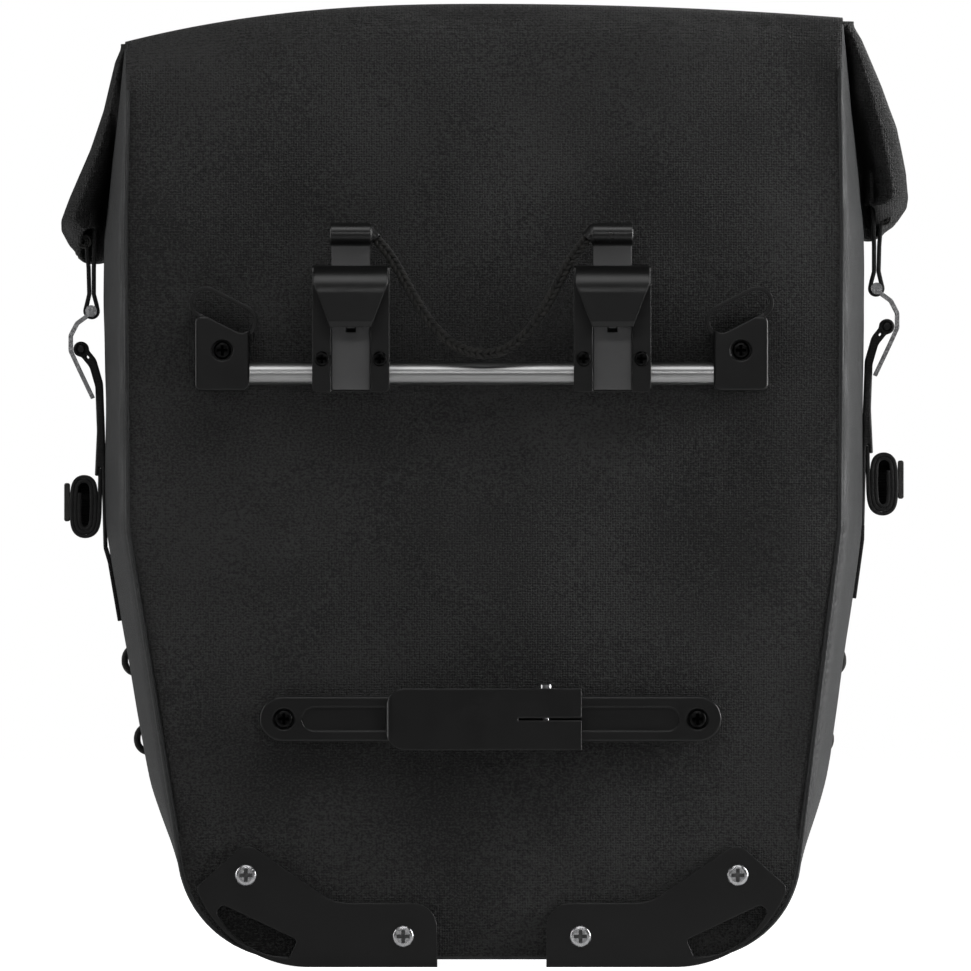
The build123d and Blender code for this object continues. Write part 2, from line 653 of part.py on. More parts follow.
# ---------------------------------------------------------------- lower rail and hook
def lower_rail():
    """Moulded rail on a narrower foot, with a shallow channel between its screws."""
    with BuildPart() as rail:
        with BuildSketch(face_plane(BACK_Y)):
            with Locations((LOWER_X, LOWER_Z)):
                SlotOverall(LOWER_LENGTH - (LOWER_HEIGHT - LOWER_FOOT_HEIGHT), LOWER_FOOT_HEIGHT)
        extrude(amount=LOWER_FOOT_OUT)
        with BuildSketch(face_plane(out(LOWER_FOOT_OUT))):
            with Locations((LOWER_X, LOWER_Z)):
                SlotOverall(LOWER_LENGTH, LOWER_HEIGHT)
        extrude(amount=LOWER_OUT - LOWER_FOOT_OUT)
        fillet(rail.faces().sort_by(Axis.Y)[0].edges(), radius=0.9)
        with BuildSketch(face_plane(out(LOWER_OUT))):
            with Locations((LOWER_X, LOWER_Z)):
                SlotOverall(CHANNEL_LENGTH, CHANNEL_HEIGHT)
        extrude(amount=-CHANNEL_DEEP, mode=Mode.SUBTRACT)
        with BuildSketch(face_plane(out(LOWER_OUT))):
            with Locations(*panel_holes()[2:4]):
                Circle(SINK_R)
        extrude(amount=-2.2, mode=Mode.SUBTRACT)
        with BuildSketch(face_plane(out(LOWER_OUT))):
            with Locations(*panel_holes()[2:4]):
                Circle(SCREW_R + 0.1)
        extrude(amount=-LOWER_OUT, mode=Mode.SUBTRACT)
    write(rail.part, "lower_rail")


def lower_hook():
    """Arm with an open mouth to the left, and a split clamp that grips the rail."""
    low = LOWER_Z - ARM_HEIGHT / 2
    with BuildPart() as arm:
        with BuildSketch(Plane.XY.offset(low)) as plan:
            with BuildLine():
                Line((ARM_RIGHT, out(0.7)), (ARM_RIGHT, out(ARM_CLAMP_OUT)))
                Spline(
                    (ARM_RIGHT, out(ARM_CLAMP_OUT)),
                    (CLAMP_LEFT, out(21.0)),
                    (ARM_LEFT + 2.6, out(ARM_MOUTH_OUT + ARM_THICK)),
                    tangents=[(-1, -0.05), (-1, 0.02)],
                )
                ThreePointArc(
                    (ARM_LEFT + 2.6, out(ARM_MOUTH_OUT + ARM_THICK)),
                    (ARM_LEFT, out(ARM_MOUTH_OUT + 1.8)),
                    (ARM_LEFT + 2.6, out(ARM_MOUTH_OUT - 1.0)),
                )
                Spline(
                    (ARM_LEFT + 2.6, out(ARM_MOUTH_OUT - 1.0)),
                    (-8.0, out(ARM_MOUTH_OUT - 3.0)),
                    (CLAMP_LEFT, out(9.6)),
                    tangents=[(1, 0), (0.35, 1)],
                )
                Polyline((CLAMP_LEFT, out(9.6)), (CLAMP_LEFT, out(0.7)), (ARM_RIGHT, out(0.7)))
            make_face()
        extrude(amount=ARM_HEIGHT)
        with BuildSketch(side_plane(ARM_LEFT)):
            with Locations((out((LOWER_FOOT_OUT + LOWER_OUT) / 2), LOWER_Z)):
                Rectangle(LOWER_OUT - LOWER_FOOT_OUT + 0.6, LOWER_HEIGHT + 0.6)
            with Locations((out(LOWER_FOOT_OUT / 2), LOWER_Z)):
                Rectangle(LOWER_FOOT_OUT + 1.0, LOWER_FOOT_HEIGHT + 0.8)
        extrude(amount=ARM_RIGHT - ARM_LEFT, mode=Mode.SUBTRACT)
        with BuildSketch(side_plane(CLAMP_LEFT)):
            with Locations((out(ARM_CLAMP_OUT), LOWER_Z)):
                Rectangle(2 * (ARM_CLAMP_OUT - LOWER_OUT), 1.1)
        extrude(amount=ARM_RIGHT - CLAMP_LEFT, mode=Mode.SUBTRACT)
        with BuildSketch(face_plane(0)) as face:
            with Locations(((ARM_LEFT + ARM_RIGHT) / 2, LOWER_Z)):
                Rectangle(ARM_RIGHT - ARM_LEFT, ARM_HEIGHT)
            fillet(face.vertices().group_by(Axis.X)[0], radius=ARM_END_R)
        extrude(amount=FAR, mode=Mode.INTERSECT)
        with BuildSketch(Plane.XY.offset(low - 1)):
            with Locations((PINCH_X, out(PINCH_OUT))):
                Circle(PINCH_R + FIT)
        extrude(amount=ARM_HEIGHT + 2, mode=Mode.SUBTRACT)
        with BuildSketch(Plane.XY.offset(low)):
            with Locations((PINCH_X, out(PINCH_OUT))):
                RegularPolygon(NUT_R + 0.1, 6)
        extrude(amount=NUT_HIGH, mode=Mode.SUBTRACT)
    write(arm.part, "lower_hook")


def pinch_screw():
    """Socket screw and nut that squeeze the lower hook's clamp."""
    top = LOWER_Z + ARM_HEIGHT / 2
    bottom = LOWER_Z - ARM_HEIGHT / 2
    with BuildPart() as screw:
        with BuildSketch(Plane.XY.offset(top)):
            with Locations((PINCH_X, out(PINCH_OUT))):
                Circle(2.7)
        extrude(amount=1.6)
        with BuildSketch(Plane.XY.offset(top + 1.6)):
            with Locations((PINCH_X, out(PINCH_OUT))):
                RegularPolygon(1.3, 6)
        extrude(amount=-1.1, mode=Mode.SUBTRACT)
        with BuildSketch(Plane.XY.offset(top)):
            with Locations((PINCH_X, out(PINCH_OUT))):
                Circle(PINCH_R)
        extrude(amount=-(ARM_HEIGHT - 0.4))
    with BuildPart() as nut:
        with BuildSketch(Plane.XY.offset(bottom)):
            with Locations((PINCH_X, out(PINCH_OUT))):
                RegularPolygon(NUT_R, 6)
                Circle(PINCH_R + FIT, mode=Mode.SUBTRACT)
        extrude(amount=NUT_HIGH)
    write(screw.part, "pinch_screw")
    write(nut.part, "pinch_nut")


# ---------------------------------------------------------------- corner guards
def guard_edge(side):
    """Outer edge of a guard, from its straight bottom to its lobe."""
    radius = (GUARD_LOBE[0] - GUARD_BEND) ** 2 / (2 * GUARD_LOBE[1]) + GUARD_LOBE[1] / 2
    start = (GUARD_X + side * GUARD_BEND, 0)
    end = (GUARD_X + side * GUARD_LOBE[0], GUARD_LOBE[1])
    turn = radians(25)
    middle = (start[0] + side * radius * sin(turn), radius * (1 - cos(turn)))
    return start, middle, end


def corner_guard(name, side, body):
    """Face plate on the back panel and a skid that wraps under the corner."""
    start, middle, end = guard_edge(side)

    def at(u, z):
        return GUARD_X + side * u, z

    with BuildPart() as guard:
        with BuildSketch(face_plane(BACK_Y)) as plate:
            with BuildLine():
                ThreePointArc(start, middle, end)
                Line(end, at(*GUARD_APEX))
                Spline(
                    at(*GUARD_APEX),
                    at(93.0, 44.4),
                    at(78.0, 34.0),
                    at(62.0, 28.2),
                    tangents=[(-side, -0.55), (-side, 0)],
                )
                Polyline(at(62.0, 28.2), at(24.0, 28.2), at(24.0, 0), start)
            make_face()
            corners = plate.vertices().group_by(Axis.Y)
            fillet(corners[-1], radius=6.5)
            inner = plate.vertices().filter_by(lambda v: abs(v.X - at(24.0, 0)[0]) < 1 and v.Y > 20)
            fillet(inner, radius=11.0)
            fillet(plate.vertices().filter_by(lambda v: abs(v.X - end[0]) < 1 and v.Y > 20), radius=4.0)
            with Locations(*[at(u, z) for u, z in GUARD_SCREWS]):
                Circle(SCREW_R + 0.1, mode=Mode.SUBTRACT)
        extrude(amount=GUARD_THICK)
        with BuildSketch(face_plane(BACK_Y)) as slot:
            with BuildLine():
                ThreePointArc(at(121.4, 24.6), at(107.8, 9.6), at(89.0, 4.2))
                Polyline(at(89.0, 4.2), at(85.6, 12.0), at(118.2, 27.4), at(121.4, 24.6))
            make_face()
            fillet(slot.vertices(), radius=1.9)
        extrude(amount=GUARD_THICK, mode=Mode.SUBTRACT)
        with BuildSketch(face_plane(BACK_Y)):
            with BuildLine():
                ThreePointArc(start, middle, end)
                Polyline(end, at(GUARD_LOBE[0] - 30, GUARD_LOBE[1]), at(GUARD_BEND, 8.0))
                Polyline(at(GUARD_BEND, 8.0), at(24.0, 8.0), at(24.0, 0), start)
            make_face()
        extrude(amount=-GUARD_WRAP)
        add(body, mode=Mode.SUBTRACT)
    write(guard.part, name)


# ---------------------------------------------------------------- ears, clips and side straps
def ear(name, side, lift):
    """Flattened end of the roll, folded down the side. It turns about the top corner."""
    with BuildPart() as flap:
        for height, inner, outer, near, far in EAR_SECTIONS:
            with BuildSketch(Plane.XY.offset(height + lift)):
                with Locations((side * (inner + outer) / 2, inward((near + far) / 2))):
                    RectangleRounded(outer - inner, far - near, (outer - inner) * 0.45)
        loft(ruled=True)
        near, far = EAR_SECTIONS[0][3:]
        with BuildSketch(face_plane(inward(far))):
            with Locations((side * EAR_HINGE_X, EAR_HINGE_Z + lift)):
                Circle(EAR_HINGE_R)
        extrude(amount=far - near)
    write(flap.part, f"ear_{name}")


def ear_webbing(name, side, lift):
    """Webbing sewn into the ear, round the top bar of the clip hook."""
    top = EAR_SECTIONS[-1][0] + lift
    with BuildPart() as web:
        with BuildSketch(face_plane(inward(WEB_DEPTH + WEB_WIDTH / 2))):
            with BuildLine():
                Polyline(
                    (side * 169.6, top),
                    (side * (BAR_X - BAR_R - 0.3 - WEB_THICK), BAR_Z + lift),
                    (side * (BAR_X + BAR_R + 0.3 + WEB_THICK), BAR_Z + lift),
                    (side * 177.4, top),
                    close=True,
                )
            make_face()
            with Locations((side * BAR_X, BAR_Z + lift)):
                Circle(BAR_R + 0.3 + WEB_THICK)
                Circle(BAR_R + 0.3, mode=Mode.SUBTRACT)
        extrude(amount=WEB_WIDTH)
    write(web.part, f"ear_webbing_{name}")


def clip_hook(name, side, lift):
    """Bent metal hook: a round top bar, two side rails with a window between them, and a tail."""
    points = [(side * x, z + lift) for x, z in CLIP_SHAPE]
    half = CLIP_WIDTH / 2
    with BuildPart() as clip:
        with BuildSketch(face_plane(inward(WEB_DEPTH + half))):
            with BuildLine() as bend:
                FilletPolyline(*points, radius=3.0)
            trace(bend.line, line_width=CLIP_THICK)
        extrude(amount=CLIP_WIDTH)
        with BuildSketch(Plane.XY.offset(ROD_Z + lift - 4.5)):
            with Locations((side * 178.0, inward(WEB_DEPTH))):
                Rectangle(14.0, CLIP_WIDTH - 2 * CLIP_RAIL)
        extrude(amount=BAR_Z + 2 - ROD_Z + 4.5, mode=Mode.SUBTRACT)
        for end in (-1, 1):
            middle = inward(WEB_DEPTH + end * (half - CLIP_RAIL / 2))
            with BuildSketch(face_plane(middle + CLIP_RAIL / 2)):
                with Locations((side * BAR_X, BAR_Z + lift)):
                    Circle(BAR_R + 0.9)
            extrude(amount=CLIP_RAIL)
        with BuildSketch(face_plane(inward(WEB_DEPTH + half))):
            with Locations((side * BAR_X, BAR_Z + lift)):
                Circle(BAR_R)
        extrude(amount=CLIP_WIDTH)
    write(clip.part, f"clip_hook_{name}")


def side_strap(name, side, lift):
    """Webbing sewn to the side of the bag, with a loop round its bar at the top."""
    span = face_plane(inward(WEB_DEPTH + WEB_WIDTH / 2))
    loop = (side * ROD_X, ROD_Z + lift)
    with BuildPart() as strap:
        with BuildSketch(span):
            with BuildLine() as inner:
                FilletPolyline(
                    (side * (STRAP_FOOT_X + 0.4), STRAP_FOOT_Z + lift),
                    (side * 168.6, 236.0 + lift),
                    (side * 169.4, 257.0 + lift),
                    (side * 172.4, 267.4 + lift),
                    (loop[0] - side * 1.2, loop[1] + 0.8),
                    radius=6.0,
                )
            trace(inner.line, line_width=WEB_THICK)
            with BuildLine() as outer:
                FilletPolyline(
                    (side * 171.2, TAIL_Z + TAIL_HIGH / 2 - 1.2 + lift),
                    (side * 170.3, 236.0 + lift),
                    (side * 171.0, 255.6 + lift),
                    (side * 173.6, 264.6 + lift),
                    (loop[0] + side * 0.4, loop[1] - 1.4),
                    radius=6.0,
                )
            trace(outer.line, line_width=WEB_THICK)
            with Locations(loop):
                Circle(ROD_R + WEB_THICK)
                Circle(ROD_R, mode=Mode.SUBTRACT)
        extrude(amount=WEB_WIDTH)
    with BuildPart() as rod:
        with BuildSketch(face_plane(inward(WEB_DEPTH + WEB_WIDTH / 2 + 1.5))):
            with Locations(loop):
                Circle(ROD_R)
        extrude(amount=WEB_WIDTH + 3)
    write(strap.part, f"side_strap_{name}")
    write(rod.part, f"strap_bar_{name}")


def rolled_tail(name, side, lift):
    """Spare end of the side strap, rolled flat, with its keeper tab."""
    with BuildPart() as roll:
        with BuildSketch(face_plane(inward(WEB_DEPTH + WEB_WIDTH / 2))):
            with Locations(Location((side * TAIL_X, TAIL_Z + lift), 90)):
                SlotOverall(TAIL_HIGH, TAIL_WIDE)
                SlotOverall(18.0, 3.0, mode=Mode.SUBTRACT)
        extrude(amount=WEB_WIDTH)
    with BuildPart() as keeper:
        with BuildSketch(face_plane(inward(WEB_DEPTH + WEB_WIDTH / 2 - 1))):
            with Locations((side * (TAIL_X + TAIL_WIDE / 2 + 1.2), TAIL_Z + 1.5 + lift)):
                RectangleRounded(2.4, 17.0, 0.8)
        extrude(amount=WEB_WIDTH - 2)
    write(roll.part, f"strap_tail_{name}")
    write(keeper.part, f"tail_keeper_{name}")


def strap_patch(name, side, lift, body):
    """Patch that holds the foot of the side strap on the gusset."""
    with BuildPart() as patch:
        with BuildSketch(face_plane(inward(WEB_DEPTH + WEB_WIDTH / 2 + 4))):
            with BuildLine() as line:
                Line((side * 158.5, 152.0 + lift), (side * (STRAP_FOOT_X - 1.3), STRAP_FOOT_Z + lift - 3))
            trace(line.line, line_width=6.0)
        extrude(amount=WEB_WIDTH + 8)
        add(body, mode=Mode.SUBTRACT)
    write(patch.part, f"strap_patch_{name}")


# ---------------------------------------------------------------- front bungee
def bungee():
    """Bungee laced in a cross over the front, with a tab at each loop and a lock at the top."""
    high_x, high_z = BUNGEE_HIGH
    low_x, low_z = BUNGEE_LOW
    high_loop = high_x + LOOP_REACH
    low_loop = low_x + LOOP_REACH
    lock = LOCK_Z - 8
    lift = 2 * BUNGEE_R + 0.6
    y = BUNGEE_Y
    route = [
        (5.0, y, lock),
        (9.0, y, lock - 14),
        (high_x - 26, y, high_z + 12),
        (high_loop, y, high_z + 5.0),
        (high_loop, y, high_z - 5.0),
        (high_x - 22, y, high_z - 9.0),
        (12.0, y, 115.6),
        (-12.0, y, 112.6),
        (-(low_x - 20), y, low_z + 9.0),
        (-low_loop, y, low_z + 5.0),
        (-low_loop, y, low_z - 5.0),
        (-(low_x - 18), y, low_z - 9.0),
        (low_x - 18, y, low_z - 9.4),
        (low_loop, y, low_z - 5.0),
        (low_loop, y, low_z + 5.0),
        (low_x - 20, y, low_z + 9.0),
        (14.0, y + lift, 112.3),
        (-14.0, y + lift, 116.0),
        (-(high_x - 22), y, high_z - 9.0),
        (-high_loop, y, high_z - 5.0),
        (-high_loop, y, high_z + 5.0),
        (-(high_x - 26), y, high_z + 12),
        (-9.0, y, lock - 14),
        (-5.0, y, lock),
    ]
    route = [Vector(*point) for point in route]
    radii = [min(radius, 40.0) for radius in route_radii(route)]
    print("bungee radii:", [round(r, 1) for r in radii])
    write(tube(route, radii, BUNGEE_R), "bungee_cord")


def bungee_tabs():
    """Webbing strips sewn over the bungee beside each side loop, and the lock that joins its two ends."""
    tabs = []
    for side in SIDES.values():
        for x, z in (BUNGEE_HIGH, BUNGEE_LOW):
            middle = side * (x - TAB_INSET)
            with BuildPart() as tab:
                with BuildSketch(face_plane(FRONT_Y + TAB_OUT)):
                    with Locations((middle, z)):
                        RectangleRounded(TAB_WIDTH, 34.0, 1.5)
                extrude(amount=TAB_OUT)
                with BuildSketch(side_plane(middle - TAB_WIDTH)):
                    with Locations((FRONT_Y, z + 8.6), (FRONT_Y, z - 8.2)):
                        Rectangle(2 * (TAB_OUT - 0.8), 8.4)
                extrude(amount=2 * TAB_WIDTH, mode=Mode.SUBTRACT)
            tabs.append(tab.part)
    write_group(tabs, "bungee_tabs")
    with BuildPart() as lock:
        with BuildSketch(face_plane(FRONT_Y + 6.0)):
            with Locations((0, LOCK_Z)):
                RectangleRounded(17.0, 15.4, 4.0)
        extrude(amount=5.8)
    write(lock.part, "cord_lock")


def main():
    os.makedirs("parts", exist_ok=True)
    body = lofted_body(0.0)
    bag_panels(body)
    stiffener_plate()
    rolled_closure()
    panel_screws()
    inner_nuts()
    upper_rail()
    release_cord()
    lower_rail()
    lower_hook()
    pinch_screw()
    bungee()
    bungee_tabs()
    for name, side in SIDES.items():
        lift = SIDE_LIFT[name]
        hook_x = RAIL_X + side * HOOK_X
        rail_bracket(f"rail_bracket_{name}", side)
        hook_body(f"hook_body_{name}", hook_x)
        hook_clamp(f"hook_clamp_{name}", hook_x)
        clamp_screws(f"clamp_screws_{name}", hook_x)
        latch_slide(f"latch_slide_{name}", hook_x, side)
        latch_spring(f"latch_spring_{name}", hook_x)
        latch_pawl(name, hook_x)
        corner_guard(f"corner_guard_{name}", side, body)
        ear(name, side, lift)
        ear_webbing(name, side, lift)
        clip_hook(name, side, lift)
        side_strap(name, side, lift)
        rolled_tail(name, side, lift)
        strap_patch(name, side, lift, body)


main()
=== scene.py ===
"""Looks of the roll-top pannier bag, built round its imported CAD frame. Metres, same frame as the part.

-Y is the rack side, +Z is up, and the bag stands on Z 0.
"""

import json
import math

import bmesh
import bpy
import numpy as np
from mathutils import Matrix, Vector, noise


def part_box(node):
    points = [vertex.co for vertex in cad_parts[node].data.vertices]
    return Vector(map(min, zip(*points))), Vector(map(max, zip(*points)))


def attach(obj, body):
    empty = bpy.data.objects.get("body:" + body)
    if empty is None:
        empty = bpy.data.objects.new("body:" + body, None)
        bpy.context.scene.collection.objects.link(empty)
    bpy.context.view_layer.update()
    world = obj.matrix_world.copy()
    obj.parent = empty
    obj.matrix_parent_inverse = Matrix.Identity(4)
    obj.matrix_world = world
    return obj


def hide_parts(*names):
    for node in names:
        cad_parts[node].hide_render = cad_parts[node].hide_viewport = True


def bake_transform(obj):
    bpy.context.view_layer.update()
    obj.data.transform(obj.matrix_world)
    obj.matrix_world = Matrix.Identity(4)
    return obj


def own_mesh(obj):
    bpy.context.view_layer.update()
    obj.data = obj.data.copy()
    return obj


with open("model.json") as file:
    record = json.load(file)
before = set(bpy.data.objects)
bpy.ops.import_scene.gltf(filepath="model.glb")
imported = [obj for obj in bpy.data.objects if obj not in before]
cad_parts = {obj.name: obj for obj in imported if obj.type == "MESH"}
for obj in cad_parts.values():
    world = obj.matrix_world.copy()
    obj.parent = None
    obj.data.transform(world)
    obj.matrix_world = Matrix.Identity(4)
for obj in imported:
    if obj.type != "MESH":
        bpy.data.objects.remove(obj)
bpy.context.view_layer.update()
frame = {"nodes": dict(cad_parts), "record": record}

MM = 0.001
SIDES = {"left": -1, "right": 1}

# ---------------------------------------------------------------- sizes, mm
BACK_Y, BODY_DEPTH = -61.4, 153.0
BASE_Z, TOP_Z = 3.5, 422.0
BASE_HALF, WAIST_HALF, WAIST_Z = 131.0, 157.5, 192.0
SHOULDER_HALF, SHOULDER_Z, TOP_HALF = 158.5, 325.0, 157.0
CORNER_R, BEND_R = 48.0, 60.0
# the bag seen from its side, as depth and height, and how far its corners are rounded
PROFILE = [(0.0, -1.0), (0.0, 422.0), (26.0, 422.0), (84.0, 352.0), (153.0, 232.0), (153.0, -1.0)]
PROFILE_RADII = [18.0, 7.2, 80.0, 80.0]
PANEL_SEAM_DEPTH = 32.0
BULGE_CURVE = (-28.08, 27.08)           # how the part's sides swell with depth
BULGE_AT_BASE = 0.6         # share of it that is left at the base
FABRIC_PUFF, PUFF_RAMP = 3.4, 90.0      # how far the filled sides swell past the part's plain solid
FLAT_BELOW, FLAT_RAMP = 34.0, 50.0      # the sides run flat into the base from this height
CLOTH = 1.2                 # thickness of the coated fabric
LOWER_LEAN = 3.2            # the lower half sits this far to the right, as its guards do
TOP_LEFT, TOP_RIGHT = -16.5, -6.0       # how far the top fold drops towards its two ends
TOP_RISE, SAG_FROM = 2.2, 290.0         # the top's lift over the part, and where lift and sag begin
DENT, FRONT_DENT, RIPPLE = 1.5, 0.9, 0.7        # soft relief in back panel, front panel and gusset
CLOTH_FREE_AT = 28.0        # distance from hardware at which the cloth dents freely
ROLL_HALF = 154.3
ROLL_DEPTH, ROLL_Z, ROLL_TILT = 62.5, 400.5, -49.0
ROLL_TURNS = 2.6
ROLL_TALL, ROLL_THICK = (12.5, 10.0), (2.6, 7.2)        # half size of the first turn, and its growth
BOARD_HALF, BOARD_TALL, BOARD_THICK = 149.0, 24.0, 1.5
NECK_X = 150.0              # where the ears' cloth comes out of the roll
EAR_SECTIONS = [            # height, near and far depth, evenly spaced down the ear
    (407.0, 50.0, 80.0),
    (398.0, 52.0, 84.0),
    (384.0, 49.5, 86.0),
    (370.0, 47.0, 88.0),
    (357.0, 45.0, 90.0),
    (346.0, 43.0, 92.0),
    (336.0, 41.0, 94.0),
    (327.0, 40.0, 96.0),
    (320.5, 41.0, 95.0),
    (313.0, 43.0, 93.0),
]
EAR_INSIDE_HEIGHTS = [313, 335, 350, 375, 405]
EAR_INSIDE = [166.4, 164.2, 161.0, 157.4, 155.6]        # the ears' inner side, against the gusset
EAR_HEIGHTS = [313.0, 318.0, 324.4, 329.0, 340.0, 360.0, 378.0, 399.0, 405.0]
EAR_EDGE = {                # how far out each ear's edge reaches at those heights
    "left": [178.6, 183.4, 187.0, 187.2, 183.0, 174.2, 168.2, 163.2, 160.6],
    "right": [174.0, 182.6, 187.0, 187.8, 186.8, 182.6, 176.2, 167.2, 163.6],
}
EAR_GROOVE = 38.0           # depth of the fold beside the gusset
EAR_GROOVE_AT, EAR_GROOVE_WIDE = -128.0, 27.0           # where it lies round the ear, in degrees
EAR_NEAR_RISE, EAR_FAR_DROP = 13.0, 3.0     # the mouth is slanted, so that it opens to the rack side
EAR_MOUTH = ((0.9, 0.6), (0.84, 4.0), (0.8, 10.0), (0.7, 18.0))     # size and rise of the rings inside it
SIDE_LIFT = {"left": 0.0, "right": 10.0}        # how much higher that side's ear and straps hang
WEBBING_THICK, STRAP_DEPTH = 1.7, 68.0
KNOB_X, KNOB_Z = 176.6, 320.0
TAIL_X, TAIL_Z, TAIL_OUT, TAIL_STRAIGHT = 176.6, 203.0, 6.6, 7.4
TAIL_TURNS, TAIL_PITCH = 2.55, 1.70
TAIL_FLATNESS = 2.6         # larger makes the wound tail's long sides straighter
CORD_R, CORD_Y = 2.4, BACK_Y - 13.8
RAIL_X = -1.0               # middle of the hook rail
# above this height the latch slides get a much darker copy of their grey plastic: painted shade on the round
# handles
BARREL_Z = 316.2            # the latch slides' round handles begin here
# faces this far behind a screw's front are the floors of its cross recess, which get painted shade
RECESS_NEAR, RECESS_FAR = 0.7, 2.2      # how far behind a screw's front its recess lies
CORD_ROUTE = [              # X from the middle of the rail, and Z
    (-46.4, 320.4), (-40.6, 313.8), (-36.4, 306.6), (-32.0, 298.6), (-26.6, 289.0),
    (-19.6, 279.6), (-10.4, 272.2), (0.9, 268.9), (12.0, 271.8), (20.6, 279.4),
    (27.2, 288.8), (32.4, 298.4), (36.6, 306.7), (40.7, 313.8), (46.4, 320.4),
]
BRAID_PITCH, BRAID_HALF, BRAID_DEEP, STRAND_R = 11.5, 1.45, 0.62, 0.92


# ---------------------------------------------------------------- mesh helpers
def depth_to_y(depth):
    """Y in mm of a point this deep into the bag."""
    return BACK_Y + depth


def new_object(name, vertices, faces):
    """Smooth shaded object from points in mm."""
    mesh = bpy.data.meshes.new(name)
    mesh.from_pydata([tuple(c * MM for c in v) for v in vertices], [], faces)
    mesh.validate()
    mesh.update()
    mesh.shade_smooth()
    piece = bpy.data.objects.new(name, mesh)
    bpy.context.scene.collection.objects.link(piece)
    return piece


def grid_faces(rows, columns, wrap=False, start=0):
    """Quads of a grid of rows by columns."""
    faces = []
    last = columns if wrap else columns - 1
    for i in range(rows - 1):
        for j in range(last):
            k = (j + 1) % columns
            faces.append((
                start + i * columns + j,
                start + i * columns + k,
                start + (i + 1) * columns + k,
                start + (i + 1) * columns + j,
            ))
    return faces


def grid_object(name, points, wrap=False):
    """Object from an array of rows by columns by 3."""
    rows, columns = points.shape[:2]
    return new_object(name, points.reshape(-1, 3).tolist(), grid_faces(rows, columns, wrap))


def bake_modifiers(piece):
    """Give the piece its modified mesh and drop the modifiers."""
    graph = bpy.context.evaluated_depsgraph_get()
    mesh = bpy.data.meshes.new_from_object(piece.evaluated_get(graph))
    piece.modifiers.clear()
    piece.data = mesh
    mesh.shade_smooth()


def fix_normals(piece):
    """Turn every face of a closed or open sheet the same way, outwards."""
    mesh = bmesh.new()
    mesh.from_mesh(piece.data)
    bmesh.ops.recalc_face_normals(mesh, faces=mesh.faces)
    mesh.to_mesh(piece.data)
    mesh.free()


def thicken(piece, thickness, offset=-1.0):
    """Make a sheet into cloth of this thickness in mm."""
    solid = piece.modifiers.new("cloth", "SOLIDIFY")
    solid.thickness = thickness * MM
    solid.offset = offset
    bake_modifiers(piece)


def rounded(points, radii, steps=10):
    """Polyline with its inner corners rounded."""
    line = [np.array(points[0], float)]
    for before, corner, after, radius in zip(points, points[1:], points[2:], radii):
        before, corner, after = (np.array(p, float) for p in (before, corner, after))
        a = (before - corner) / np.linalg.norm(before - corner)
        b = (after - corner) / np.linalg.norm(after - corner)
        half = math.acos(float(np.clip(a @ b, -1, 1))) / 2
        reach = radius / math.tan(half)
        middle = corner + (a + b) / np.linalg.norm(a + b) * radius / math.sin(half)
        first = corner + a * reach - middle
        last = corner + b * reach - middle
        sweep = math.pi - 2 * half
        for i in range(steps + 1):
            t = i / steps
            spoke = (math.sin((1 - t) * sweep) * first + math.sin(t * sweep) * last) / math.sin(sweep)
            line.append(middle + spoke)
    line.append(np.array(points[-1], float))
    return np.array(line)


def resample(line, step):
    """Points along a polyline, this far apart."""
    lengths = np.r_[0, np.cumsum(np.linalg.norm(np.diff(line, axis=0), axis=1))]
    count = max(2, int(round(lengths[-1] / step)) + 1)
    where = np.linspace(0, lengths[-1], count)
    return np.stack([np.interp(where, lengths, line[:, k]) for k in range(line.shape[1])], axis=1)


# ---------------------------------------------------------------- shape of the shell
ARC_STEPS = 14
OUTLINE = rounded(
    [
        (0.0, BASE_Z),
        (BASE_HALF, BASE_Z),
        (WAIST_HALF, WAIST_Z),
        (SHOULDER_HALF, SHOULDER_Z),
        (TOP_HALF, TOP_Z + 1),
    ],
    [CORNER_R, BEND_R, BEND_R],
    ARC_STEPS,
)
SIDE_PROFILE = rounded(PROFILE, PROFILE_RADII, ARC_STEPS)
CREST = int(np.argmax(SIDE_PROFILE[:, 1] - 1e-6 * SIDE_PROFILE[:, 0]))


def half_width(z):
    """Half width of the back panel at this height."""
    return np.interp(z, OUTLINE[1:, 1], OUTLINE[1:, 0])


def swell(depth, z):
    """How far the sides stand out past the back seam at this depth."""
    t = np.clip(np.asarray(depth, float) / BODY_DEPTH, 0, 1)
    full = BULGE_CURVE[0] * t * t + BULGE_CURVE[1] * t
    share = BULGE_AT_BASE + (1 - BULGE_AT_BASE) * np.clip((z - BASE_Z) / (WAIST_Z - BASE_Z), 0, 1)
    puff = FABRIC_PUFF * np.sin(math.pi * np.sqrt(t)) * np.clip((z - BASE_Z) / PUFF_RAMP, 0, 1)
    fade = np.clip((TOP_Z + 20 - z) / (TOP_Z + 20 - SHOULDER_Z), 0, 1)
    low = np.clip((z - FLAT_BELOW) / FLAT_RAMP, 0, 1)
    return (full * share + puff) * np.where(z > SHOULDER_Z, fade, 1.0) * low * low * (3 - 2 * low)


def top_drop(x):
    """How far below its middle the top fold hangs at this X."""
    t = np.clip(np.asarray(x, float) / TOP_HALF, -1.15, 1.15)
    return np.where(t < 0, TOP_LEFT * np.abs(t) ** 2.4, TOP_RIGHT * np.abs(t) ** 2.0)


def settle(points):
    """Let the top of the bag sag towards its two ends, and its lower half lean."""
    share = np.clip((points[..., 2] - SAG_FROM) / (TOP_Z - SAG_FROM), 0, 1.1)
    share = share * share * (3 - 2 * np.clip(share, 0, 1))
    moved = points.copy()
    moved[..., 2] += share * top_drop(points[..., 0]) + TOP_RISE * np.clip(share, 0, 1)
    lean = np.clip(1 - points[..., 2] / WAIST_Z, 0, 1)
    moved[..., 0] += LOWER_LEAN * lean
    return moved


HARDWARE = ["lower_rail"]
for part in ("rail_bracket", "corner_guard", "hook_clamp"):
    HARDWARE += [f"{part}_{side}" for side in SIDES]
HARD_BOXES = [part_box(name) for name in HARDWARE]


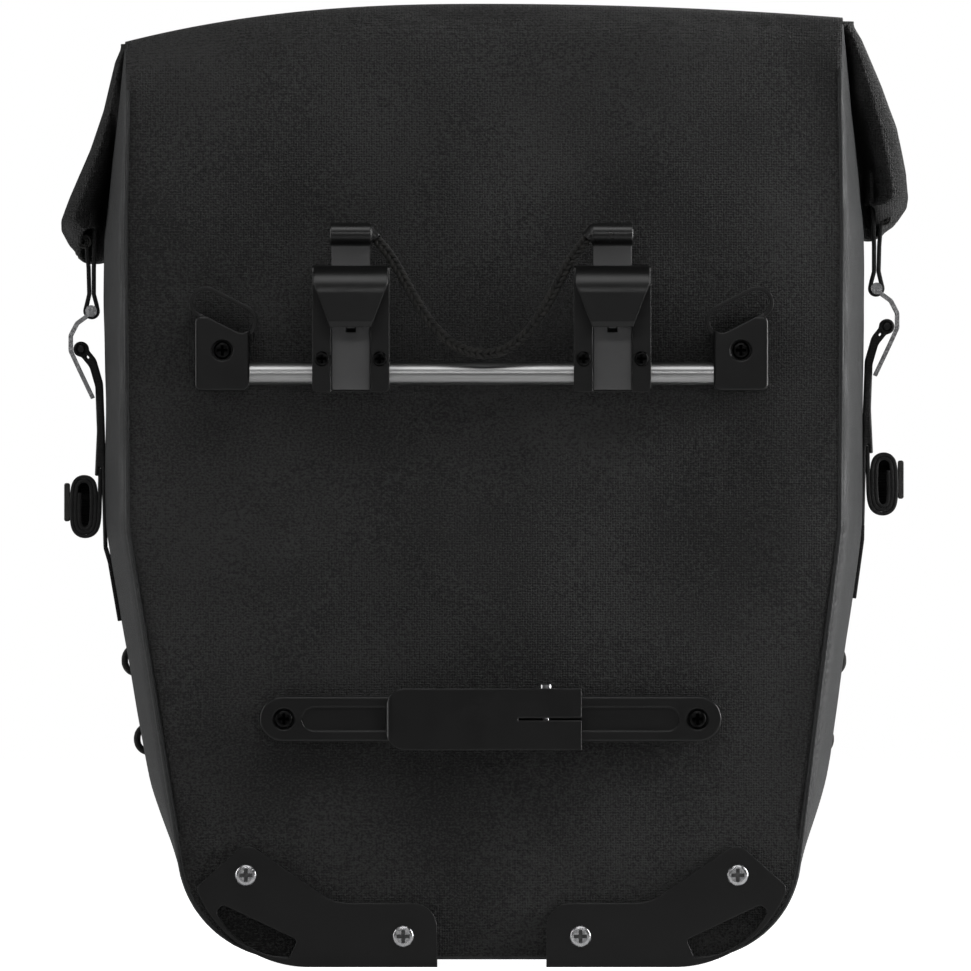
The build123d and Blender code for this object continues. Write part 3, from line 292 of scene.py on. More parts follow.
def free_cloth(x, z):
    """0 where hardware lies on the back panel, 1 well away from it."""
    free = 1.0
    for low, high in HARD_BOXES:
        dx = max(low.x / MM - x, 0, x - high.x / MM)
        dz = max(low.z / MM - z, 0, z - high.z / MM)
        free = min(free, math.hypot(dx, dz) / CLOTH_FREE_AT)
    return free


def soft_relief(x, y, z, size, seed):
    """Slow, soft dents, about -1 to 1."""
    place = Vector((x / size + seed, y / size, z / size))
    return noise.noise(place) * 1.3 + 0.35 * noise.noise(place * 2.3)


# ---------------------------------------------------------------- shell pieces
PANEL_COLUMNS = 81
CROWDING = 0.35             # how strongly a panel's columns crowd towards its edges
TURN_FROM, TURN_OVER = 0.985, 0.015     # share of the half width where its edge turns in
SEAM_TAPER, SEAM_TURN = 2.6, 1.2
BACK_EDGE, FRONT_EDGE = 20, 140     # a row nearer or farther than this meets the back or front seam
CORNER_TOP, BACK_TOP = 52, 403          # the back panel is straight between these heights
BACK_FADE, FRONT_FADE = 22.0, 24.0      # the dents fade out this near to a seam
WELT_R = 0.75


def mirrored(half):
    """Right half of the outline, and its left half before it."""
    return np.concatenate([np.stack([-half[::-1, 0], half[::-1, 1]], axis=1), half[1:]])


def corner_heights(top):
    """Heights of the outline's points round its lower corner, below this height."""
    heights = OUTLINE[:, 1]
    return heights[(heights > BASE_Z + 0.01) & (heights < top)]


def sideways(x, z):
    """1 or -1 on the bag's right and left side, and 0 where the outline runs under the base."""
    return np.clip((z - BASE_Z) / 40.0, 0, 1) * np.sign(x)


def sheet_between(path):
    """Grid across the bag along a side-view path of depth and height, its edges turned in at the seams."""
    quarter = math.pi / 2
    across = np.sin(np.linspace(-quarter, quarter, PANEL_COLUMNS)) * CROWDING
    across = across + np.linspace(-1, 1, PANEL_COLUMNS) * (1 - CROWDING)
    edge = np.clip((np.abs(across) - TURN_FROM) / TURN_OVER, 0, 1) ** 2
    rows = []
    for depth, z in path:
        tapered = depth < BACK_EDGE and z > 60
        taper = SEAM_TAPER * np.clip(1 - z / WAIST_Z, 0, 1) ** 0.5 if tapered else 0.0
        half = float(half_width(z) + swell(depth, z)) - taper
        turned = 1 if depth < BACK_EDGE else -1 if depth > FRONT_EDGE else 0
        row = np.zeros((PANEL_COLUMNS, 3))
        row[:, 0] = across * half
        row[:, 1] = depth_to_y(depth) + edge * SEAM_TURN * turned * (z < 395)
        row[:, 2] = z
        rows.append(row)
    return np.array(rows)


def back_panel():
    """Back panel, from the base up and over the top fold to its seam on the slope."""
    rise = corner_heights(CORNER_TOP - 2)
    heights = np.unique(np.r_[BASE_Z + 0.02, rise, np.arange(CORNER_TOP, BACK_TOP, 4.5)])
    path = [(0.0, z) for z in heights]
    crest = SIDE_PROFILE[1:]
    crest = resample(crest[crest[:, 0] <= PANEL_SEAM_DEPTH + 14], 2.5)
    path += [tuple(p) for p in crest if p[0] <= PANEL_SEAM_DEPTH]
    points = sheet_between(path)
    for row in points:
        for p in row:
            if p[1] < BACK_Y + 3:
                edge = min(1.0, (half_width(p[2]) - abs(p[0])) / BACK_FADE) if p[2] > 8 else 0.0
                share = free_cloth(p[0], p[2]) * max(edge, 0.0)
                p[1] -= share * DENT * soft_relief(p[0], 0, p[2], 74.0, 3.1)
    return grid_object("back_sheet", settle(points))


def front_panel():
    """Front panel, from the seam on the slope down to the base."""
    path = resample(SIDE_PROFILE[CREST:], 4.0)
    path = [(d, z) for d, z in path if d >= PANEL_SEAM_DEPTH and z > CORNER_TOP]
    path += [(BODY_DEPTH, z) for z in corner_heights(CORNER_TOP)[::-1]] + [(BODY_DEPTH, BASE_Z + 0.02)]
    points = sheet_between(path)
    for row in points:
        for p in row:
            edge = min(1.0, max(0.0, (half_width(p[2]) - abs(p[0])) / FRONT_FADE))
            p[1] += edge * FRONT_DENT * soft_relief(p[0], 0, p[2], 60.0, 9.7) - FRONT_DENT * edge
    return grid_object("front_sheet", settle(points))


def gusset():
    """Band round both sides and the base, between the two seams."""
    path = mirrored(resample(OUTLINE, 4.0))
    path = path[path[:, 1] < TOP_Z - 3.0]
    back = SIDE_PROFILE[1:CREST + 1]
    front = SIDE_PROFILE[CREST:][::-1]
    share = np.linspace(0, 1, 41)
    rows = []
    for x, z in path:
        height = min(z, TOP_Z - 0.3)
        near = float(np.interp(height, back[:, 1], back[:, 0]))
        far = float(np.interp(height, front[:, 1], front[:, 0]))
        side = sideways(x, z)
        row = []
        for t in share:
            depth = near + (far - near) * t
            out = float(swell(depth, z)) * side
            fold = 1.4 * max(0.0, 1 - min(t, 1 - t) * (far - near) / 2.4)
            relief = soft_relief(0, depth, z, 46.0, 5.0 + np.sign(x))
            ripple = RIPPLE * relief * math.sin(math.pi * t) * abs(side)
            inwards = fold * abs(side)
            upwards = fold * (1 - abs(side)) * 0.6
            row.append((x + out + (ripple - inwards) * np.sign(x), depth_to_y(depth), z + upwards))
        rows.append(row)
    return grid_object("gusset_sheet", settle(np.array(rows)))


def seam_welt(name, depth):
    """Welded edge that stands a little proud along a seam."""
    path = mirrored(resample(OUTLINE, 3.0))
    path = path[np.abs(path[:, 1]) < (400.0 if depth < BACK_EDGE else 236.0)]
    rings = []
    for x, z in path:
        side = sideways(x, z)
        out = float(swell(depth, z)) * side - 0.5 * side
        centre = np.array([x + out, depth_to_y(depth), z + 0.6 * (1 - abs(side))])
        centre[1] += 0.5 if depth < BACK_EDGE else -0.5
        outwards = np.array([side, 0, abs(side) - 1.0])
        outwards = outwards / (np.linalg.norm(outwards) or 1)
        rings.append([centre + WELT_R * (outwards * math.cos(a) + np.array([0, math.sin(a), 0]))
                      for a in np.linspace(0, 2 * math.pi, 8, endpoint=False)])
    return grid_object(name, settle(np.array(rings)), wrap=True)


def roll():
    """Rolled closure: the bag's mouth wound in flat turns, so that its ends show the spiral."""
    angles = np.linspace(0, 2 * math.pi * ROLL_TURNS, 150)
    tilt = math.radians(ROLL_TILT)
    section = []
    for a in angles:
        share = a / angles[-1]
        tall, thick = (first + growth * share for first, growth in (ROLL_TALL, ROLL_THICK))
        c, s = math.cos(a), math.sin(a)
        u = tall * math.copysign(abs(c) ** 0.75, c)
        v = thick * math.copysign(abs(s) ** 0.9, s)
        section.append((u * math.cos(tilt) - v * math.sin(tilt), u * math.sin(tilt) + v * math.cos(tilt)))
    rows = []
    for x in np.linspace(-ROLL_HALF, ROLL_HALF, 90):
        squeeze = 1 - 0.05 * (x / ROLL_HALF) ** 4
        sag = 0.45 * soft_relief(x, 0, 0, 38.0, 1.0)
        rows.append([(x, depth_to_y(ROLL_DEPTH) + y * squeeze + 0.3 * sag, ROLL_Z + z * squeeze + sag)
                     for y, z in section])
    return grid_object("roll_sheet", settle(np.array(rows)))


def roll_board():
    """Stiffening strip inside the roll, bent with it."""
    tilt = math.radians(ROLL_TILT)
    along = np.linspace(-BOARD_HALF, BOARD_HALF, 60)
    rows = [[(x, depth_to_y(ROLL_DEPTH) + u * math.cos(tilt), ROLL_Z - 1.0 + u * math.sin(tilt))
             for u in (-BOARD_TALL / 2, BOARD_TALL / 2)] for x in along]
    piece = grid_object("roll_board", settle(np.array(rows)))
    thicken(piece, BOARD_THICK, 0.0)
    return piece


EAR_ANGLES = np.linspace(0, 2 * math.pi, 96, endpoint=False)
NECK_RISE, NECK_HALF = 4.0, 12.0        # half size of the cloth where it comes out of the roll


def hump(value, middle, width):
    """Smooth hump, 1 at its middle and nearly 0 from twice its width."""
    return math.exp(-((value - middle) / width) ** 2)


def ear_ring(side, sign, t):
    """Ring of the ear's pleated, crumpled cloth. t runs from 0 at its top to 1 at its mouth."""
    table = np.array(EAR_SECTIONS)
    z, near, far = (float(np.interp(t, np.linspace(0, 1, len(table)), column)) for column in table.T)
    inner = float(np.interp(z, EAR_INSIDE_HEIGHTS, EAR_INSIDE))
    outer = float(np.interp(z, EAR_HEIGHTS, EAR_EDGE[side]))
    middle_x, half_x = (inner + outer) / 2, (outer - inner) / 2
    middle_d, half_d = (near + far) / 2, (far - near) / 2
    lip = 0.9 * hump(t, 0.985, 0.012)
    ring = []
    for a in EAR_ANGLES:
        c, s = math.cos(a), math.sin(a)
        across = math.copysign(abs(c) ** 0.8, c)
        along = math.copysign(abs(s) ** 0.75, s)
        outside = max(0.0, across)
        pleat = 1.0
        if outside:
            pleat -= 0.16 * t * hump(along, 0.35, 0.16)
            pleat -= 0.12 * t * hump(along, -0.4, 0.2)
        crumple = 0.5 * soft_relief(across * 9, along * 24, z, 20.0, 7.0 + sign) * t
        x = middle_x + half_x * across * pleat + outside * crumple
        x += outside * lip
        groove = EAR_GROOVE * min(1.0, t * 6)
        groove *= hump(math.degrees(math.atan2(s, c)), EAR_GROOVE_AT, EAR_GROOVE_WIDE)
        slant = t ** 5 * (EAR_NEAR_RISE * max(0.0, -along) - EAR_FAR_DROP * max(0.0, along))
        height = z + SIDE_LIFT[side] + slant
        ring.append((sign * x, depth_to_y(middle_d + half_d * along + groove), height))
    return np.array(ring)


def neck_rings(sign, top):
    """Rings that bring the cloth out of the roll's end, towards the ear's topmost ring."""
    end = settle(np.array([[sign * ROLL_HALF, 0.0, ROLL_Z]]))[0]
    neck = []
    for a in EAR_ANGLES:
        slope = NECK_HALF * math.sin(a)
        height = end[2] - 1.1 * slope + NECK_RISE * math.cos(a)
        neck.append((sign * NECK_X, depth_to_y(ROLL_DEPTH + slope), height))
    neck = np.array(neck)
    rings = []
    for share in np.linspace(0, 1, 8)[:-1]:
        ring = neck + (top - neck) * share
        ring[:, 0] = neck[:, 0] + (top[:, 0] - neck[:, 0]) * math.sin(share * math.pi / 2)
        rings.append(ring)
    return rings


def mouth_rings(edge):
    """Rings that lead from the ear's lower edge up into its hollow."""
    centre = edge.mean(axis=0)
    rings = []
    for share, rise in EAR_MOUTH:
        ring = centre + (edge - centre) * share
        ring[:, 2] += rise
        rings.append(ring)
    return rings


def ear(side, sign):
    """End of the closure, folded down the side of the bag, hollow towards the rack, open below."""
    rings = [ear_ring(side, sign, t) for t in np.linspace(0, 1, 60)]
    rings = neck_rings(sign, rings[0]) + rings + mouth_rings(rings[-1])
    return grid_object(f"ear_cloth_{side}", np.array(rings), wrap=True)


# ---------------------------------------------------------------- webbing
def softened(node, name, voxel, passes):
    """New rounded piece from a CAD solid."""
    source = frame["nodes"][node]
    piece = bpy.data.objects.new(name, source.data.copy())
    piece.data.materials.clear()
    bpy.context.scene.collection.objects.link(piece)
    remesh = piece.modifiers.new("remesh", "REMESH")
    remesh.mode = "VOXEL"
    remesh.voxel_size = voxel * MM
    smooth = piece.modifiers.new("smooth", "SMOOTH")
    smooth.factor = 0.5
    smooth.iterations = passes
    bake_modifiers(piece)
    return piece


def tape(name, path, width, thick=WEBBING_THICK, depth=STRAP_DEPTH):
    """Strip of webbing along a side path of X and Z. Its width runs into the bag's depth."""
    line = resample(np.array(path, float), 0.9)
    across = np.linspace(-width / 2, width / 2, 15)
    rows = [[(x, depth_to_y(depth) + w, z) for w in across] for x, z in line]
    piece = grid_object(name, np.array(rows))
    thicken(piece, thick, 0.0)
    bevel = piece.modifiers.new("edge", "BEVEL")
    bevel.width = 0.35 * MM
    bevel.segments = 2
    bevel.limit_method = "ANGLE"
    bake_modifiers(piece)
    return piece


def side_path(side, sign, path):
    """Path drawn for the left side as distance and height, moved to one side of the bag."""
    return [(sign * x, z + SIDE_LIFT[side]) for x, z in path]


def arc(x, z, radius, start, end):
    """Points of an arc, angles in degrees."""
    return [(x + radius * math.cos(math.radians(a)), z + radius * math.sin(math.radians(a)))
            for a in np.linspace(start, end, 14)]


def ear_tape(side, sign):
    """Webbing loop that hangs out of the ear, round the top bar of the clip hook."""
    path = [(172.0, 326.0), (172.6, 308.0), (172.6, 296.5), (171.4, 292.0)]
    path += arc(173.6, 289.0, 2.75, 160, 380)
    path += [(175.6, 292.2), (174.6, 296.5), (174.9, 308.0), (176.0, 322.0)]
    return tape(f"ear_tape_{side}", side_path(side, sign, path), 20.0)


def ear_knob(side, sign):
    """Folded end of that webbing, rolled up in the ear's mouth."""
    path = []
    for t in np.linspace(0, 1, 60):
        radius, angle = 1.0 + 2.4 * t, t * 4.4 * math.pi
        path.append((KNOB_X + radius * math.cos(angle), KNOB_Z + radius * math.sin(angle)))
    return tape(f"ear_knob_{side}", side_path(side, sign, path), 20.0, 0.9)


def tail_roll(side, sign):
    """Spare webbing below the bar, wound in flat turns."""
    path = [(TAIL_X - TAIL_OUT - 0.3, 219.5), (TAIL_X - TAIL_OUT - 0.2, 212.5)]
    for share in np.linspace(0, 1, 150):
        angle = math.pi * (1 + 2 * TAIL_TURNS * share)
        radius = TAIL_OUT - TAIL_PITCH * TAIL_TURNS * share
        straight = TAIL_STRAIGHT * math.tanh(TAIL_FLATNESS * math.sin(angle)) / math.tanh(TAIL_FLATNESS)
        path.append((TAIL_X + radius * math.cos(angle), TAIL_Z + radius * math.sin(angle) + straight))
    return tape(f"tail_tape_{side}", side_path(side, sign, path), 19.6, 1.68)


def tail_core(side, sign):
    """Innermost fold of the rolled tail, pushed in from its far side."""
    reach = TAIL_STRAIGHT + 3.6
    path = [(TAIL_X - 0.3, TAIL_Z - reach), (TAIL_X - 0.3, TAIL_Z + reach)]
    return tape(f"tail_core_{side}", side_path(side, sign, path), 4.6, 6.4, STRAP_DEPTH + 7.0)


def strap_foot(side, sign):
    """Doubled webbing sewn flat to the gusset, where the side strap starts."""
    lift = SIDE_LIFT[side]
    path = [(sign * 167.4, 184.6 + lift)]
    for z in np.linspace(178.0, 152.0, 8):
        level = z + lift
        lean = LOWER_LEAN * max(0.0, 1 - level / WAIST_Z)
        out = float(half_width(level) + swell(STRAP_DEPTH, level)) + 0.9
        path.append((sign * out + lean, level))
    return tape(f"strap_foot_{side}", path, 27.0)


# ---------------------------------------------------------------- release cord
def spline_points(points, name):
    """Points that a smooth spline with these control points passes through, in metres."""
    curve = bpy.data.curves.new(name, "CURVE")
    curve.dimensions = "3D"
    curve.resolution_u = 24
    spline = curve.splines.new("NURBS")
    spline.points.add(len(points) - 1)
    for point, place in zip(spline.points, points):
        point.co = (*place, 1.0)
    spline.order_u = 3
    spline.use_endpoint_u = True
    route = bpy.data.objects.new(name, curve)
    bpy.context.scene.collection.objects.link(route)
    bpy.context.view_layer.update()
    graph = bpy.context.evaluated_depsgraph_get()
    mesh = bpy.data.meshes.new_from_object(route.evaluated_get(graph))
    line = np.array([v.co for v in mesh.vertices], float)
    bpy.data.objects.remove(route)
    return line


def strand_tube(centre, tangent, radius, sides, start):
    """Vertices and faces of a tube along a line of points."""
    rings = []
    depth = np.array([0.0, 1.0, 0.0])
    for p, t in zip(centre, tangent):
        u = np.cross(depth, t)
        u = u / np.linalg.norm(u)
        v = np.cross(t, u)
        for a in np.linspace(0, 2 * math.pi, sides, endpoint=False):
            rings.append(p + radius * (u * math.cos(a) + v * math.sin(a)))
    return rings, grid_faces(len(centre), sides, True, start)


def release_cord():
    """Flat four-strand braid, hung between the two latch slides."""
    route = [((RAIL_X + x) * MM, CORD_Y * MM, z * MM) for x, z in CORD_ROUTE]
    line = spline_points(route, "cord_route")
    smooth = resample(line, 0.0004) / MM
    tangent = np.gradient(smooth, axis=0)
    tangent /= np.linalg.norm(tangent, axis=1)[:, None]
    lateral = np.cross(tangent, np.array([0.0, 1.0, 0.0]))
    travelled = np.r_[0, np.cumsum(np.linalg.norm(np.diff(smooth, axis=0), axis=1))]
    vertices, faces = [], []
    for strand in range(4):
        phase = 2 * math.pi * (travelled / BRAID_PITCH + strand / 4)
        centre = smooth + lateral * (BRAID_HALF * np.cos(phase))[:, None]
        centre[:, 1] += BRAID_DEEP * np.sin(2 * phase)
        along = np.gradient(centre, axis=0)
        along /= np.linalg.norm(along, axis=1)[:, None]
        ring, quads = strand_tube(centre, along, STRAND_R, 10, len(vertices))
        vertices += ring
        faces += quads
    return new_object("release_braid", [tuple(v) for v in vertices], faces), line


# ---------------------------------------------------------------- materials
def node_tree(name):
    """New material, its nodes, its shader, and the coordinates that its textures lie in."""
    material = bpy.data.materials.new(name)
    material.use_nodes = True
    tree = material.node_tree
    shader = tree.nodes["Principled BSDF"]
    place = tree.nodes.new("ShaderNodeTexCoord")
    return material, tree, shader, place.outputs["Object"]


def noise_node(tree, place, scale, detail=4.0, stretch=None):
    """Noise texture over the piece's own coordinates."""
    if stretch:
        mapping = tree.nodes.new("ShaderNodeMapping")
        mapping.inputs["Scale"].default_value = stretch
        tree.links.new(place, mapping.inputs["Vector"])
        place = mapping.outputs["Vector"]
    texture = tree.nodes.new("ShaderNodeTexNoise")
    texture.inputs["Scale"].default_value = scale
    texture.inputs["Detail"].default_value = detail
    tree.links.new(place, texture.inputs["Vector"])
    return texture.outputs["Fac"]


def wave_node(tree, place, axis, scale, distortion):
    """Threads across one axis."""
    texture = tree.nodes.new("ShaderNodeTexWave")
    texture.bands_direction = axis
    texture.inputs["Scale"].default_value = scale
    texture.inputs["Distortion"].default_value = distortion
    texture.inputs["Detail"].default_value = 2.0
    texture.inputs["Detail Scale"].default_value = 1.5
    tree.links.new(place, texture.inputs["Vector"])
    return texture.outputs["Fac"]


def joined(tree, operation, a, b):
    """One math node."""
    node = tree.nodes.new("ShaderNodeMath")
    node.operation = operation
    for socket, value in zip(node.inputs, (a, b)):
        if isinstance(value, float):
            socket.default_value = value
        else:
            tree.links.new(value, socket)
    return node.outputs["Value"]


def tinted(tree, shader, amount, dark, light, spread=0.14):
    """Colour that drifts between two shades. A small spread makes it change sooner."""
    ramp = tree.nodes.new("ShaderNodeValToRGB")
    ramp.color_ramp.elements[0].position = 0.5 - spread
    ramp.color_ramp.elements[0].color = (*dark, 1)
    ramp.color_ramp.elements[1].position = 0.5 + spread
    ramp.color_ramp.elements[1].color = (*light, 1)
    tree.links.new(amount, ramp.inputs["Fac"])
    tree.links.new(ramp.outputs["Color"], shader.inputs["Base Color"])


def roughened(tree, shader, amount, low, high):
    """Roughness that varies between two values."""
    span = tree.nodes.new("ShaderNodeMapRange")
    span.inputs["To Min"].default_value = low
    span.inputs["To Max"].default_value = high
    tree.links.new(amount, span.inputs["Value"])
    tree.links.new(span.outputs["Result"], shader.inputs["Roughness"])


def raised(tree, shader, height, distance, strength, edge=0.0):
    """Relief in the surface, distance in mm. edge is the radius that its corners catch the light with."""
    bump = tree.nodes.new("ShaderNodeBump")
    if edge:
        corner = tree.nodes.new("ShaderNodeBevel")
        corner.samples = 6
        corner.inputs["Radius"].default_value = edge * MM
        tree.links.new(corner.outputs["Normal"], bump.inputs["Normal"])
    bump.inputs["Distance"].default_value = distance * MM
    bump.inputs["Strength"].default_value = strength
    tree.links.new(height, bump.inputs["Height"])
    tree.links.new(bump.outputs["Normal"], shader.inputs["Normal"])


def cloth_material(name, dark, light, rough, threads, relief, sheen, specular, grain_scale):
    """Woven fabric under a thin coat. Larger threads and grain_scale make a finer weave and grain."""
    material, tree, shader, place = node_tree(name)
    weave = wave_node(tree, place, "X", threads, 1.6)
    for axis in ("Y", "Z"):
        weave = joined(tree, "ADD", weave, wave_node(tree, place, axis, threads, 1.6))
    grain = noise_node(tree, place, grain_scale, 4.0, (1.0, 1.0, 1.4))
    height = joined(tree, "ADD", joined(tree, "MULTIPLY", weave, 0.25), grain)
    raised(tree, shader, height, relief, 1.0)
    patches = joined(tree, "ADD", joined(tree, "MULTIPLY", noise_node(tree, place, 14.0, 5.0), 0.3),
                     joined(tree, "MULTIPLY", grain, 0.7))
    tinted(tree, shader, patches, dark, light, 0.07)
    roughened(tree, shader, noise_node(tree, place, 60.0, 4.0), rough - 0.06, rough + 0.08)
    shader.inputs["Sheen Weight"].default_value = sheen
    shader.inputs["Sheen Roughness"].default_value = 0.5
    shader.inputs["Specular IOR Level"].default_value = specular
    return material


def webbing_material(name, dark, light, threads):
    """Narrow woven tape, ribbed along its length."""
    material, tree, shader, place = node_tree(name)
    ribs = joined(tree, "MULTIPLY", wave_node(tree, place, "Z", threads, 0.6),
                  wave_node(tree, place, "Y", threads * 0.8, 0.6))
    raised(tree, shader, joined(tree, "ADD", ribs, noise_node(tree, place, 1500.0, 2.0)), 0.22, 0.9)
    tinted(tree, shader, noise_node(tree, place, 240.0, 4.0), dark, light)
    roughened(tree, shader, ribs, 0.6, 0.85)
    shader.inputs["Sheen Weight"].default_value = 0.08
    shader.inputs["Specular IOR Level"].default_value = 0.35
    return material


def plastic_material(name, dark, light, rough, grain, specular):
    """Moulded plastic with a fine spark-eroded texture."""
    material, tree, shader, place = node_tree(name)
    texture = noise_node(tree, place, grain, 3.0)
    raised(tree, shader, texture, 0.05, 0.6, 1.0)
    tinted(tree, shader, noise_node(tree, place, 45.0, 5.0), dark, light)
    roughened(tree, shader, noise_node(tree, place, 130.0, 4.0), rough - 0.05, rough + 0.07)
    shader.inputs["Specular IOR Level"].default_value = specular
    return material


def metal_material(name, dark, light, rough, brushing=(1, 1, 1)):
    """Metal with brushing or plating marks. brushing stretches them along one axis."""
    material, tree, shader, place = node_tree(name)
    marks = noise_node(tree, place, 700.0, 2.0, brushing)
    raised(tree, shader, marks, 0.006, 0.3)
    tinted(tree, shader, marks, dark, light)
    roughened(tree, shader, marks, rough - 0.06, rough + 0.1)
    shader.inputs["Metallic"].default_value = 1.0
    return material


MATERIALS = {
    "shell_fabric": cloth_material(
        "coated_linen", (0.0005, 0.0005, 0.0005), (0.038, 0.038, 0.0375),
        rough=0.56, threads=430.0, relief=1.5, sheen=0.04, specular=0.35, grain_scale=900.0),
    "gusset_fabric": cloth_material(
        "coated_smooth", (0.020, 0.021, 0.0215), (0.028, 0.029, 0.0295),
        rough=0.46, threads=600.0, relief=0.25, sheen=0.05, specular=0.5, grain_scale=900.0),
    "webbing": webbing_material("webbing_tape", (0.003, 0.003, 0.003), (0.008, 0.008, 0.008), 260.0),
    "grey_elastic": webbing_material("elastic_tape", (0.018, 0.017, 0.016), (0.036, 0.035, 0.033), 320.0),
    "cord": webbing_material("braided_cord", (0.004, 0.004, 0.0035), (0.017, 0.016, 0.014), 420.0),
    "black_plastic": plastic_material(
        "moulded_black", (0.0008, 0.0008, 0.0008), (0.0020, 0.0020, 0.0020),
        rough=0.32, grain=2600.0, specular=0.46),
    "grey_plastic": plastic_material(
        "moulded_grey", (0.104, 0.104, 0.105), (0.120, 0.120, 0.121),
        rough=0.34, grain=2600.0, specular=0.5),
    "inner_board": plastic_material(
        "inner_board", (0.030, 0.030, 0.030), (0.050, 0.050, 0.050),
        rough=0.6, grain=900.0, specular=0.4),
    "rail_aluminium": metal_material(
        "satin_aluminium", (0.36, 0.36, 0.36), (0.46, 0.46, 0.46), 0.32, (0.02, 1, 1)),
    "bright_steel": metal_material("bright_plate", (0.52, 0.52, 0.53), (0.70, 0.70, 0.71), 0.24),
    "black_steel": metal_material("black_oxide", (0.008, 0.008, 0.008), (0.018, 0.018, 0.018), 0.3),
}
# painted shade: a darker copy of the slides' grey plastic, for their round handles
BARREL_PAINTED_SHADE = plastic_material(
    "barrel_painted_shade", (0.005, 0.005, 0.005), (0.009, 0.009, 0.009), rough=0.28, grain=2600.0, specular=0.5)
# painted shade: the floors of the screws' cross recesses get a darker metal than the heads, near black for
# the black screws and grey for the guard screws
RECESS_SHADE_DARK = metal_material("recess_shade_dark", (0.001, 0.001, 0.001), (0.003, 0.003, 0.003), 0.6)
RECESS_SHADE_GREY = metal_material("recess_shade_grey", (0.09, 0.09, 0.09), (0.16, 0.16, 0.16), 0.5)


def finish_piece(piece, body, slot_name, *nodes):
    """Material, slot, body and the CAD nodes that the piece stands for."""
    piece.data.materials.clear()
    piece.data.materials.append(MATERIALS[slot_name])
    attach(piece, body)
    if nodes:
        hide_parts(*nodes)


# ---------------------------------------------------------------- camera, light and floor
CENTRE_X, CENTRE_Z = 0.0007, 0.2119
FRAME_WIDTH, DISTANCE = 0.4272, 12.0
SKY_STRENGTH = 0.045
FLOOR_HALF = 9000

lens = bpy.data.cameras.new("camera")
lens.sensor_width = 36.0
lens.lens = 36.0 * DISTANCE / FRAME_WIDTH
lens.clip_end = 80.0
camera = bpy.data.objects.new("camera", lens)
camera.location = (CENTRE_X, BACK_Y * MM - DISTANCE, CENTRE_Z)
camera.rotation_euler = (math.radians(90), 0, 0)
bpy.context.scene.collection.objects.link(camera)
bpy.context.scene.camera = camera


def area_light(name, place, aim, size, power):
    """Soft box that faces a point."""
    data = bpy.data.lights.new(name, "AREA")
    data.shape = "RECTANGLE"
    data.size, data.size_y = size
    data.energy = power
    light = bpy.data.objects.new(name, data)
    light.location = place
    light.rotation_euler = (Vector(aim) - Vector(place)).to_track_quat("-Z", "Y").to_euler()
    bpy.context.scene.collection.objects.link(light)


area_light("top_box", (0.0, -0.45, 1.0), (0, 0, 0.34), (0.9, 0.4), 2.6)
area_light("left_box", (-1.25, -0.05, 0.45), (0, 0, 0.22), (0.35, 1.2), 6.0)
area_light("right_box", (1.25, -0.05, 0.45), (0, 0, 0.22), (0.35, 1.2), 20.0)
area_light("front_box", (-1.7, -2.0, 1.3), (0, 0, 0.2), (0.8, 0.8), 1.6)
area_light("far_box", (0.7, 2.3, 1.2), (0, 0.05, 0.2), (0.9, 0.9), 9.0)
area_light("rail_strip", (0.0, -1.3, 0.62), (0, -0.07, 0.26), (0.9, 0.10), 1.6)


def shown_to_camera(tree, shown, lighting, surface):
    """Camera rays meet one shader, and every other ray meets the one that lights the scene."""
    seen = tree.nodes.new("ShaderNodeLightPath")
    choice = tree.nodes.new("ShaderNodeMixShader")
    tree.links.new(seen.outputs["Is Camera Ray"], choice.inputs[0])
    tree.links.new(lighting, choice.inputs[1])
    tree.links.new(shown, choice.inputs[2])
    tree.links.new(choice.outputs[0], surface)


def studio_world():
    """Soft light from all round, in front of a clean white backdrop."""
    world = bpy.data.worlds.new("studio")
    bpy.context.scene.world = world
    world.use_nodes = True
    tree = world.node_tree
    sky = tree.nodes["Background"]
    clean = tree.nodes.new("ShaderNodeBackground")
    for background, strength in ((sky, SKY_STRENGTH), (clean, 1.0)):
        background.inputs["Color"].default_value = (1, 1, 1, 1)
        background.inputs["Strength"].default_value = strength
    shown_to_camera(tree, clean.outputs[0], sky.outputs[0], tree.nodes["World Output"].inputs["Surface"])


def studio_floor():
    """White paper floor."""
    corners = [(-FLOOR_HALF, -FLOOR_HALF, 0), (FLOOR_HALF, -FLOOR_HALF, 0),
               (FLOOR_HALF, FLOOR_HALF, 0), (-FLOOR_HALF, FLOOR_HALF, 0)]
    floor = new_object("floor", corners, [(0, 1, 2, 3)])
    material, tree, shader, place = node_tree("floor_paper")
    tinted(tree, shader, noise_node(tree, place, 3.0), (0.80, 0.80, 0.80), (0.84, 0.84, 0.84))
    shader.inputs["Roughness"].default_value = 0.95
    shader.inputs["Specular IOR Level"].default_value = 0.0
    glow = tree.nodes.new("ShaderNodeEmission")
    glow.inputs["Color"].default_value = (1, 1, 1, 1)
    glow.inputs["Strength"].default_value = 1.0
    both = tree.nodes.new("ShaderNodeAddShader")
    tree.links.new(shader.outputs[0], both.inputs[0])
    tree.links.new(glow.outputs[0], both.inputs[1])
    shown_to_camera(tree, both.outputs[0], shader.outputs[0], tree.nodes["Material Output"].inputs["Surface"])
    floor.data.materials.append(material)


studio_world()
studio_floor()
bpy.context.scene.view_settings.view_transform = "Standard"

# ---------------------------------------------------------------- pieces
braid, braid_line = release_cord()
finish_piece(braid, "latch_left", "cord", "release_cord")

for build, slot_name, node in ((back_panel, "shell_fabric", "back_panel"),
                               (front_panel, "shell_fabric", "front_panel"),
                               (gusset, "gusset_fabric", "side_gusset"),
                               (roll, "shell_fabric", "roll_closure")):
    cloth = build()
    fix_normals(cloth)
    thicken(cloth, CLOTH)
    finish_piece(cloth, "root", slot_name, node)

for name, depth in (("back_welt", 0.0), ("front_welt", BODY_DEPTH)):
    finish_piece(seam_welt(name, depth), "root", "gusset_fabric")

